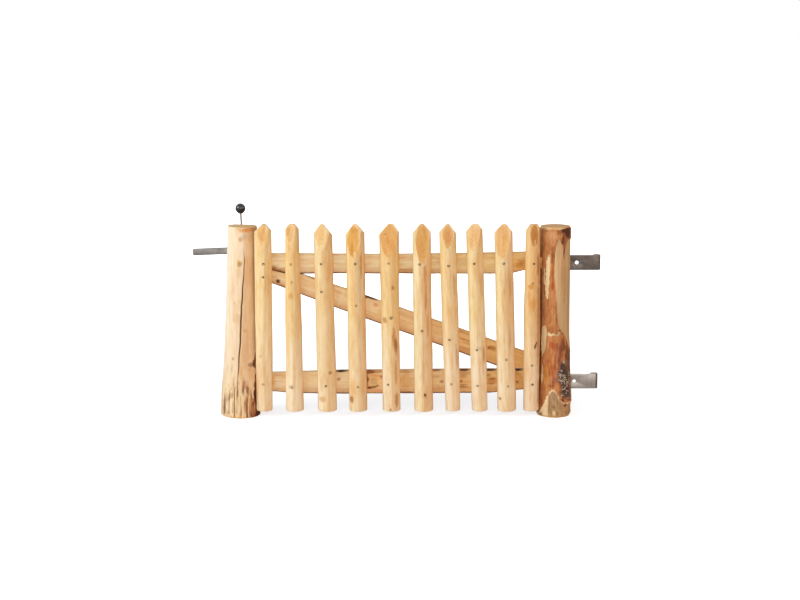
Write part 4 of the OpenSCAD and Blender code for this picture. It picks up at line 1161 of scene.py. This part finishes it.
pickets = []
for i in range(picket_count):
    picket = copy_of(stave, f"picket_{i + 1:02d}_shaved")
    shape_points(picket, picket_shape(i))
    hold(picket)
    half = picket_width / 2 * top_girth[i]
    left, right = picket_width * tip_left[i], picket_width * tip_right[i]
    left_bevel = math.atan((half - left) / (picket_width * left_drop[i]))
    right_bevel = math.atan((half - right) / (picket_width * right_drop[i]))
    facet = math.atan((half - tip_thickness[i]) / (picket_width * facet_drop[i]))
    turn = math.radians(facet_turn[i])
    cuts = []
    cut_away((-left, 0, picket_length), (-math.cos(left_bevel), 0, math.sin(left_bevel)), cuts)
    cut_away((right, 0, picket_length), (math.cos(right_bevel), 0, math.sin(right_bevel)), cuts)
    cut_away((0, -tip_thickness[i], picket_length),
             (math.cos(facet) * math.sin(turn), -math.cos(facet) * math.cos(turn), math.sin(facet)), cuts)
    # The corners beside the top are knocked off
    for side, bevel, reach in ((-1, left_bevel, left), (1, right_bevel, right)):
        lean = (bevel + math.pi / 2) / 2
        drop = min(0.004, reach * 0.6)
        cut_away((side * reach, 0, picket_length - drop * 0.5),
                 (side * math.cos(lean), 0, math.sin(lean)), cuts)
    bpy.ops.object.mode_set(mode="EDIT")
    bpy.ops.mesh.select_all(action="SELECT")
    bpy.ops.mesh.remove_doubles(threshold=0.0004)
    bpy.ops.object.mode_set(mode="OBJECT")
    score_axed_faces(picket, cuts)
    write_points(picket, "grain", "FLOAT_VECTOR", lambda x, y, z: (
        x + 0.005 * math.sin(i * 2.1), y - 0.004 * math.cos(i), z + 3 * i + 60))

    def paint(x, y, z):
        share = x / (picket_width / 2)
        paling = foot_paling[i] * rise(0.5, 0.06, z)
        colour = blend(linear(picket_colour[i]), linear("FFF4DC"), paling)
        # Painted shade: the right of the picket, away from the light, is darkened by its shade tint, less so
        # towards the foot
        tint = blend(linear(shade_tint[i]), linear("FBF7EF"), paling)
        colour = blend(colour, [part * by for part, by in zip(colour, tint)], rise(-0.6, 0.15, share))
        colour = blend(colour, linear("EDBE80"), 0.5 * max(0, ripple(x * 45 + i, 1, z * 3.2 + i)))
        colour = blend(colour, linear("D9A05C"), 0.35 * rise(0.86, 1, abs(share)))
        if y > -0.002:
            colour = blend(colour, linear("E2B884"), 0.6)
        return laid(colour, picket_stains[i], x * 1000, z * 1000)

    write_points(picket, "paint", "FLOAT_COLOR", paint)

    def facet_paint(x, y, z):
        middle, height, half_width, half_height = facet_oval[i]
        away = math.hypot((x * 1000 - middle) / half_width, (z * 1000 - height) / half_height)
        colour = blend(linear(facet_colour[i]), paint(x, -0.03, z), rise(0.84, 1.08, away))
        colour = blend(colour, linear("FFEEC6"), 0.45 * rise(0.86, 1.02, away) * rise(1.3, 1.06, away))
        return laid(colour, facet_stains[i], x * 1000, z * 1000)

    write_points(picket, "cut_paint", "FLOAT_COLOR", facet_paint)
    write_points(picket, "knot", "FLOAT", lambda x, y, z: nearest_knot(
        picket_knots[i], x * 1000, z * 1000) + (1 if y > -0.003 else 0))
    for finish in (drawknifed_chestnut, axe_cut_chestnut, sawn_end):
        picket.data.materials.append(finish)
    for face in picket.data.polygons:
        if is_axed(face.center, face.normal, cuts) or face.normal.z > 0.99:
            face.material_index = 1
        elif face.normal.z < -0.95:
            face.material_index = 2
    put(picket, (picket_x[i], rail_plane_y, picket_foot_z), (0, math.radians(picket_lean[i]), 0))
    smooth(picket, 25)
    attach(picket, "leaf")
    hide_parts(f"picket_{i + 1:02d}")
    pickets.append(picket)
bpy.data.objects.remove(stave)

# ---- The screws
# Countersunk wood screws, 11 mm across the head, blackened, with a cross recess. One goes through each
# picket into each rail and another into the brace. Two more hold the brace and the bottom rail.
screw_head_radius = 0.0054
screw_shank_radius = 0.0022
screw_length = 0.060


def plain_finish(name, code, metallic, roughness, ior=1.5):
    """A material of one colour all over."""
    return new_finish(name, {"Base Color": linear(code), "Metallic": metallic, "Roughness": roughness,
                             "IOR": ior})[0]


# Blackened steel: thin oxide over zinc, with the bare metal shining through a little. On some of the screws
# sanding dust has settled in the recess and on the head.
blackened_steel = plain_finish("blackened_screw_steel", "3C2C1A", 0.2, 0.7)
dusty_steel = plain_finish("dusty_screw_steel", "9C7E52", 0.05, 0.85)


def pick_faces(piece, wanted):
    """Goes into edit mode with only the faces selected that are wanted."""
    hold(piece)
    bpy.ops.object.mode_set(mode="EDIT")
    bpy.ops.mesh.select_mode(type="FACE")
    bpy.ops.mesh.select_all(action="DESELECT")
    shape = bmesh.from_edit_mesh(piece.data)
    for face in shape.faces:
        face.select_set(wanted(face.calc_center_median(), face.normal))
    bmesh.update_edit_mesh(piece.data)


def cut_from(piece, tool):
    """Cuts the tool out of a piece and throws the tool away."""
    hold(piece)
    cut = piece.modifiers.new("cut", "BOOLEAN")
    cut.operation = "DIFFERENCE"
    cut.solver = "EXACT"
    cut.object = tool
    bpy.ops.object.modifier_apply(modifier="cut")
    bpy.data.objects.remove(tool)


def raise_top(piece, inset, lift):
    """Insets the top face of a piece, and lifts or sinks what lies inside the inset."""
    pick_faces(piece, lambda middle, normal: normal.z > 0.9)
    bpy.ops.mesh.inset(thickness=inset)
    bpy.ops.transform.translate(value=(0, 0, lift))
    bpy.ops.object.mode_set(mode="OBJECT")


# The head faces up the Z axis here: the shank is drawn out of its underside, then pointed
screw = cylinder("screw", 24, screw_head_radius, 0.0006, (0, 0, -0.0003))
pick_faces(screw, lambda middle, normal: normal.z < -0.9)
shank_share = screw_shank_radius / screw_head_radius
for depth, share in ((0.0028, shank_share), (screw_length - 0.012, 1), (0.008, 0.15)):
    bpy.ops.mesh.extrude_region_move(TRANSFORM_OT_translate={"value": (0, 0, -depth)})
    bpy.ops.transform.resize(value=(share, share, 1), center_override=(0, 0, 0))
bpy.ops.object.mode_set(mode="OBJECT")
raise_top(screw, 0.0006, -0.0003)
for turn in (0, 90):
    cut_from(screw, block("slot", (0.0050, 0.0011, 0.0036), (0, 0, 0), math.radians(turn)))

# Across from the middle of each picket and up from its foot, in millimetres
picket_screws = [
    [(4, 648), (2, 592), (-2, 121)], [(-5, 646), (-1, 568), (-9, 107)], [(-9, 649), (-10, 528), (-3, 115)],
    [(0, 649), (0, 468), (1, 111)],
    [(-4, 651), (3, 413), (-14, 120)], [(-11, 648), (-3, 359), (6, 77)], [(-1, 641), (-6, 319), (-4, 122)],
    [(-6, 650), (-7, 274), (-8, 115)],
    [(-4, 651), (0, 232), (5, 113)], [(4, 648), (1, 205), (3, 120)]]
dusty_screws = {(0, 2), (1, 0), (1, 1), (1, 2), (3, 1), (3, 2), (4, 0), (4, 1), (6, 2), (8, 1), (8, 2)}


def drive_screw(name, held, x, z, turn, finish):
    """Drives a copy of the screw into a piece from the front, with its head at the surface."""
    place, normal = held.ray_cast(Vector((x, -1, z)), Vector((0, 1, 0)))[1:3]
    facing = normal.to_track_quat("Z", "Y").to_matrix() @ Matrix.Rotation(math.radians(turn), 3, "Z")
    driven = copy_of(screw, name)
    driven.data.materials.append(finish)
    put(driven, place + normal * 0.0003, facing.to_euler())
    smooth(driven, 30)
    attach(driven, "leaf")


for i, screws in enumerate(picket_screws):
    lean = math.radians(picket_lean[i])
    for k, (across, up) in enumerate(screws):
        x = picket_x[i] + across / 1000 * math.cos(lean) + up / 1000 * math.sin(lean)
        z = picket_foot_z + up / 1000 * math.cos(lean) - across / 1000 * math.sin(lean)
        drive_screw(f"screw_{i + 1:02d}_{k + 1}", pickets[i], x, z, 25 + 37 * (i + k),
                    dusty_steel if (i, k) in dusty_screws else blackened_steel)
drive_screw("screw_brace", brace, -1.379, 0.493, 40, blackened_steel)
drive_screw("screw_bottom_rail", bottom_rail, -0.347, 0.053, 10, blackened_steel)
bpy.data.objects.remove(screw)

# ---- The strap hinges
# Two flat galvanised straps, 7 mm thick, whose ends are rolled back into eyes 20 mm wide for the hinge pins.
# They lie flat on the sawn back of the hinge post. Each has one spare hole that shows beside the post.
strap_thickness = 0.007
strap_tail = 0.045
hinge_reach = 0.184
eye_bore = 0.010
eye_outside = eye_bore + strap_thickness
spare_hole = (-0.088, strap_height / 2, 0.008)
screw_hole_radius = 0.005
strap_screws = [(-0.206, 0.018), (-0.206, 0.048), (-0.160, 0.018), (-0.160, 0.048)]
front_to_back = (math.radians(90), 0, 0)
head_to_back = (math.radians(-90), 0, 0)


def hot_dipped_zinc(name, code, roughness):
    """Hot-dipped zinc gone dull: a metal with faint spangles 6 mm across and rubbed, darker patches."""
    made, shader = new_finish(name, {"Metallic": 1})
    place = add_node(made, "TexCoord").outputs["Object"]
    spangle = add_node(made, "TexVoronoi", values={"Scale": 165}, links={"Vector": place})
    patch = add_node(made, "TexNoise", values={"Scale": 38, "Detail": 5, "Roughness": 0.6},
                     links={"Vector": place})
    tone = add_node(made, "MapRange", values={1: 0.3, 2: 0.72, 3: 0.74, 4: 1.12}, links={0: patch})
    cell = add_node(made, "SeparateColor", links={0: spangle.outputs["Color"]})
    shine = add_node(made, "Math", {"operation": "MULTIPLY_ADD"}, {1: 0.10}, {0: cell, 2: tone})
    colour = add_node(made, "VectorMath", {"operation": "SCALE"}, {0: linear(code)[:3]}, {"Scale": shine})
    dull = add_node(made, "MapRange", values={1: 0.3, 2: 0.7, 3: roughness + 0.12, 4: roughness - 0.08},
                    links={0: patch})
    relief = add_node(made, "Bump", values={"Strength": 0.5, "Distance": 0.0003}, links={"Height": patch})
    for source, socket in ((colour.outputs[0], "Base Color"), (dull.outputs[0], "Roughness"),
                           (relief.outputs[0], "Normal")):
        made.node_tree.links.new(source, shader.inputs[socket])
    return made


# The dull zinc is also painted shade: the upper strap and the outer part of the lower eye take it for the
# shade they lie in
dull_zinc_and_painted_shade = hot_dipped_zinc("hot_dipped_zinc_dull_and_painted_shade", "706862", 0.5)
bright_zinc = hot_dipped_zinc("hot_dipped_zinc_bright", "B4ADA5", 0.42)
worn_zinc = hot_dipped_zinc("hot_dipped_zinc_worn", "89837D", 0.48)


def close_up():
    """Merges the doubles of the mesh being edited, turns its faces outwards and leaves edit mode."""
    bpy.ops.mesh.select_all(action="SELECT")
    bpy.ops.mesh.remove_doubles(threshold=0.00001)
    bpy.ops.mesh.normals_make_consistent(inside=False)
    bpy.ops.object.mode_set(mode="OBJECT")


def drill(piece, sides, radius, place):
    """Drills a hole through a piece from front to back."""
    cut_from(piece, cylinder("drill", sides, radius, 0.03, place, front_to_back))


def strap_with_eye(name, foot):
    """A flat strap whose end face is spun round the pin into an eye, then drilled, with its edges worn."""
    middle_y = (-eye_outside - eye_bore) / 2
    strap = block(name, (hinge_reach + strap_tail, strap_thickness, strap_height),
                  (-(hinge_reach + strap_tail) / 2, middle_y, strap_height / 2))
    pick_faces(strap, lambda middle, normal: normal.x > 0.9)
    bpy.ops.mesh.spin(steps=56, angle=math.radians(-304), center=(0, 0, 0), axis=(0, 0, 1), dupli=False)
    close_up()
    for x, z, radius in [spare_hole] + [(x, z, screw_hole_radius) for x, z in strap_screws]:
        drill(strap, 48, radius, (x, middle_y, z))
    wear(strap, 0.0009, 2, 50)
    put(strap, (0, 0, foot), (0, 0, 0))
    smooth(strap, 30)
    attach(strap, "leaf")
    return strap


upper_strap = strap_with_eye("upper_strap_rolled", strap_spacing)
# Painted shade: the upper strap takes the darker dull zinc for the shade it lies in
upper_strap.data.materials.append(dull_zinc_and_painted_shade)
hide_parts("upper_strap_hinge")
lower_strap = strap_with_eye("lower_strap_rolled", 0)
lower_strap.data.materials.append(bright_zinc)
lower_strap.data.materials.append(dull_zinc_and_painted_shade)
# Painted shade: the outer part of the lower eye, which turns away from the light, takes the darker dull zinc
for face in lower_strap.data.polygons:
    face.material_index = 1 if face.center.x > 0.007 else 0
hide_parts("lower_strap_hinge")

# Coach screws: hexagon heads 14 mm across the flats on a round washer, with the shank into the post
for strap_foot, level in ((strap_spacing, "upper"), (0, "lower")):
    for k, (x, z) in enumerate(strap_screws):
        coach = cylinder(f"coach_screw_{level}_{k + 1}", 6, 0.0081, 0.006, (0, 0, 0.0052))
        raise_top(coach, 0.0010, 0.0008)
        pick_faces(coach, lambda middle, normal: normal.z < -0.9)
        bpy.ops.mesh.extrude_region_move(TRANSFORM_OT_translate={"value": (0, 0, -0.0005)})
        bpy.ops.object.mode_set(mode="OBJECT")
        for radius, high, low in ((0.0105, 0.0022, 0.0002), (0.0045, 0.0004, -0.042)):
            join_to(coach, cylinder("part", 32, radius, high - low, (0, 0, (high + low) / 2)))
        wear(coach, 0.0003, 1)
        put(coach, (x, -eye_bore, strap_foot + z), head_to_back)
        coach.data.materials.append(bright_zinc)
        smooth(coach, 30)
        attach(coach, "leaf")

# ---- The latch
# A flat steel bar that pivots on a bolt behind the latch post. A steel rod stands up from it with a black
# ball knob to lift it by, and a bent guide strap keeps it to the post and stops it at both ends.
pivot = Vector((-1.513172, -0.015, 0.619))
latch_tilt = math.radians(2.3)
bar_reach = 0.244
bar_height = 0.030
bar_thickness = 0.008
rod_arm = 0.026
seat_y = -0.024


def on_latch(piece):
    """Puts a piece of the latch at the pivot, tilted with the bar at rest, and lets it swing."""
    put(piece, pivot, (0, -latch_tilt, 0))
    smooth(piece, 30)
    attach(piece, "latch")


# The bar: a plate cut to a half round at the pivot, with its edges and the tip's corners worn
tip_corner = 0.004
pivot_hole_radius = 0.0055
bar = cylinder("latch_bar_flat", 64, bar_height / 2, bar_thickness, (0, 0, 0), front_to_back)
for point in bar.data.vertices:
    if point.co.x < -0.00001:
        corner = max(0, abs(point.co.z) - (bar_height / 2 - tip_corner))
        point.co.x = -bar_reach + min(tip_corner, corner * 0.9)
drill(bar, 48, pivot_hole_radius, (0, 0, 0))
wear(bar, 0.0009, 2, 50)
bar.data.materials.append(worn_zinc)
on_latch(bar)
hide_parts("latch_bar")

# The rod: 8 mm round, welded to the top of the bar, with its upper end chamfered
rod_length = 0.153
rod = cylinder("latch_rod_round", 32, 0.004, rod_length, (0, 0, rod_length / 2))
raise_top(rod, 0.0008, 0.0008)
for point in rod.data.vertices:
    point.co += Vector((-rod_arm, 0, bar_height / 2))
rod.data.materials.append(worn_zinc)
on_latch(rod)
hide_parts("latch_rod")

# The knob: a moulded ball of glossy black phenolic plastic that runs down into a short collar round the rod
knob_radius = 0.022
knob_base = bar_height / 2 + rod_length - 0.012
knob_middle = 0.0045 + knob_radius
collar_radius = 0.0078
neck_radius = 0.0131
neck_height = 0.0095


def ball(name, sides, rings, radius, up=0):
    """A ball with its middle so far up the Z axis."""
    bpy.ops.object.select_all(action="DESELECT")
    bpy.ops.mesh.primitive_uv_sphere_add(segments=sides, ring_count=rings, radius=radius, location=(0, 0, up))
    made = bpy.context.object
    made.name = name
    bpy.ops.object.transform_apply(location=True, rotation=True, scale=True)
    return made


knob = ball("ball_knob_moulded", 64, 48, knob_radius, knob_middle)
for point in knob.data.vertices:
    out = math.hypot(point.co.x, point.co.y)
    if point.co.z < neck_height and out > 0.00001:
        # The underside of the ball is drawn down into the collar
        wide = neck_radius
        if point.co.z <= 0.0090:
            wide = collar_radius + (neck_radius - collar_radius) * rise(0, neck_height, max(0, point.co.z))
        share = wide / out
        point.co.x, point.co.y = point.co.x * share, point.co.y * share
    point.co.z = max(0, point.co.z)
for point in knob.data.vertices:
    point.co += Vector((-rod_arm, 0, knob_base))
knob.data.materials.append(plain_finish("black_phenolic_moulding", "141012", 0, 0.16, 1.6))
on_latch(knob)
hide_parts("ball_knob")

# The pivot bolt, screwed into the sawn back of the post: a hexagon head on a 10 mm shank
bolt_head_foot = 0.0133
bolt_length = 0.0535
bolt = cylinder("latch_pivot_bolt_hexagon", 6, 0.0095, 0.0062, (0, 0, bolt_head_foot + 0.0031))
raise_top(bolt, 0.0012, 0.0008)
join_to(bolt, cylinder("shank", 40, 0.005, bolt_length, (0, 0, bolt_head_foot + 0.0002 - bolt_length / 2)))
put(bolt, (pivot.x, seat_y, pivot.z), head_to_back)
bolt.data.materials.append(bright_zinc)
smooth(bolt, 30)
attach(bolt, "leaf")
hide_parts("latch_pivot_bolt")

# The spacer keeps the bar off the wood
spacer_length = 0.0047
spacer = cylinder("latch_spacer_turned", 48, 0.010, spacer_length, (0, 0, spacer_length / 2))
cut_from(spacer, cylinder("drill", 40, pivot_hole_radius, 0.02))
wear(spacer, 0.0004, 2)
put(spacer, (pivot.x, seat_y, pivot.z), head_to_back)
spacer.data.materials.append(dull_zinc_and_painted_shade)
smooth(spacer, 30)
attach(spacer, "leaf")
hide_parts("latch_spacer")

# The guide: one strip 20 mm wide and 4 mm thick, bent round the bar, with a screw through each foot
guide_offset = 0.070
guide_left = pivot.x - guide_offset
guide_width = 0.020
guide_middle = guide_left + guide_width / 2
guide_thickness = 0.004
guide_foot = 0.022
lifted = math.radians(27.7)
guide_rest = pivot.z - guide_offset * math.tan(latch_tilt) - bar_height / 2 / math.cos(latch_tilt) - 0.0003
guide_stop = pivot.z + guide_offset * math.tan(lifted) + bar_height / 2 / math.cos(lifted) + 0.001
guide = block("latch_guide_bent", (guide_width, guide_thickness, guide_foot + guide_thickness),
              (guide_middle, seat_y + guide_thickness / 2,
               guide_rest - guide_foot / 2 - guide_thickness / 2))


def draw_on(value):
    """Draws the strip on, straight, from its selected end."""
    bpy.ops.mesh.extrude_region_move(TRANSFORM_OT_translate={"value": value})


def bend_on(centre, degrees):
    """Bends the strip on from its selected end, round a centre in the plane across the gate."""
    bpy.ops.mesh.spin(steps=6, angle=math.radians(-degrees), center=centre, axis=(1, 0, 0), dupli=False)


# The strip is drawn up from its lower foot and bent four times, with 2 mm inside each bend
pick_faces(guide, lambda middle, normal: normal.z > 0.9)
bpy.ops.transform.translate(value=(0, 0, -0.006))
near_bend_y = -0.018
far_bend_y = -0.008
bend_on((guide_left, near_bend_y, guide_rest - 0.006), -90)
draw_on((0, far_bend_y - near_bend_y, 0))
bend_on((guide_left, far_bend_y, guide_rest + 0.002), 90)
draw_on((0, 0, guide_stop - guide_rest - 0.004))
bend_on((guide_left, far_bend_y, guide_stop - 0.002), 90)
draw_on((0, near_bend_y - far_bend_y, 0))
bend_on((guide_left, near_bend_y, guide_stop + 0.006), -90)
draw_on((0, 0, guide_foot - 0.002))
close_up()
guide_screw_heights = (guide_rest - 0.017, guide_stop + 0.018)
for height in guide_screw_heights:
    drill(guide, 32, 0.0032, (guide_middle, seat_y + guide_thickness / 2, height))
wear(guide, 0.0005, 2, 50)
guide.data.materials.append(dull_zinc_and_painted_shade)
smooth(guide, 30)
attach(guide, "leaf")
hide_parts("latch_guide")

# A round-headed screw through each foot of the guide: the lower half of a ball is drawn down into the shank
stud_shank_radius = 0.0029
for k, height in enumerate(guide_screw_heights):
    stud = ball(f"guide_screw_{k + 1}", 24, 16, 0.0055)
    for point in stud.data.vertices:
        if point.co.z < 0:
            out = math.hypot(point.co.x, point.co.y)
            share = min(1, stud_shank_radius / max(out, stud_shank_radius))
            point.co = Vector((point.co.x * share, point.co.y * share, point.co.z * 4.4))
        else:
            point.co.z *= 0.6
    cut_from(stud, block("slot", (0.016, 0.0011, 0.0024), (0, 0, 0.0034)))
    put(stud, (guide_middle, seat_y + guide_thickness, height), head_to_back)
    stud.data.materials.append(blackened_steel)
    smooth(stud, 40)
    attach(stud, "leaf")
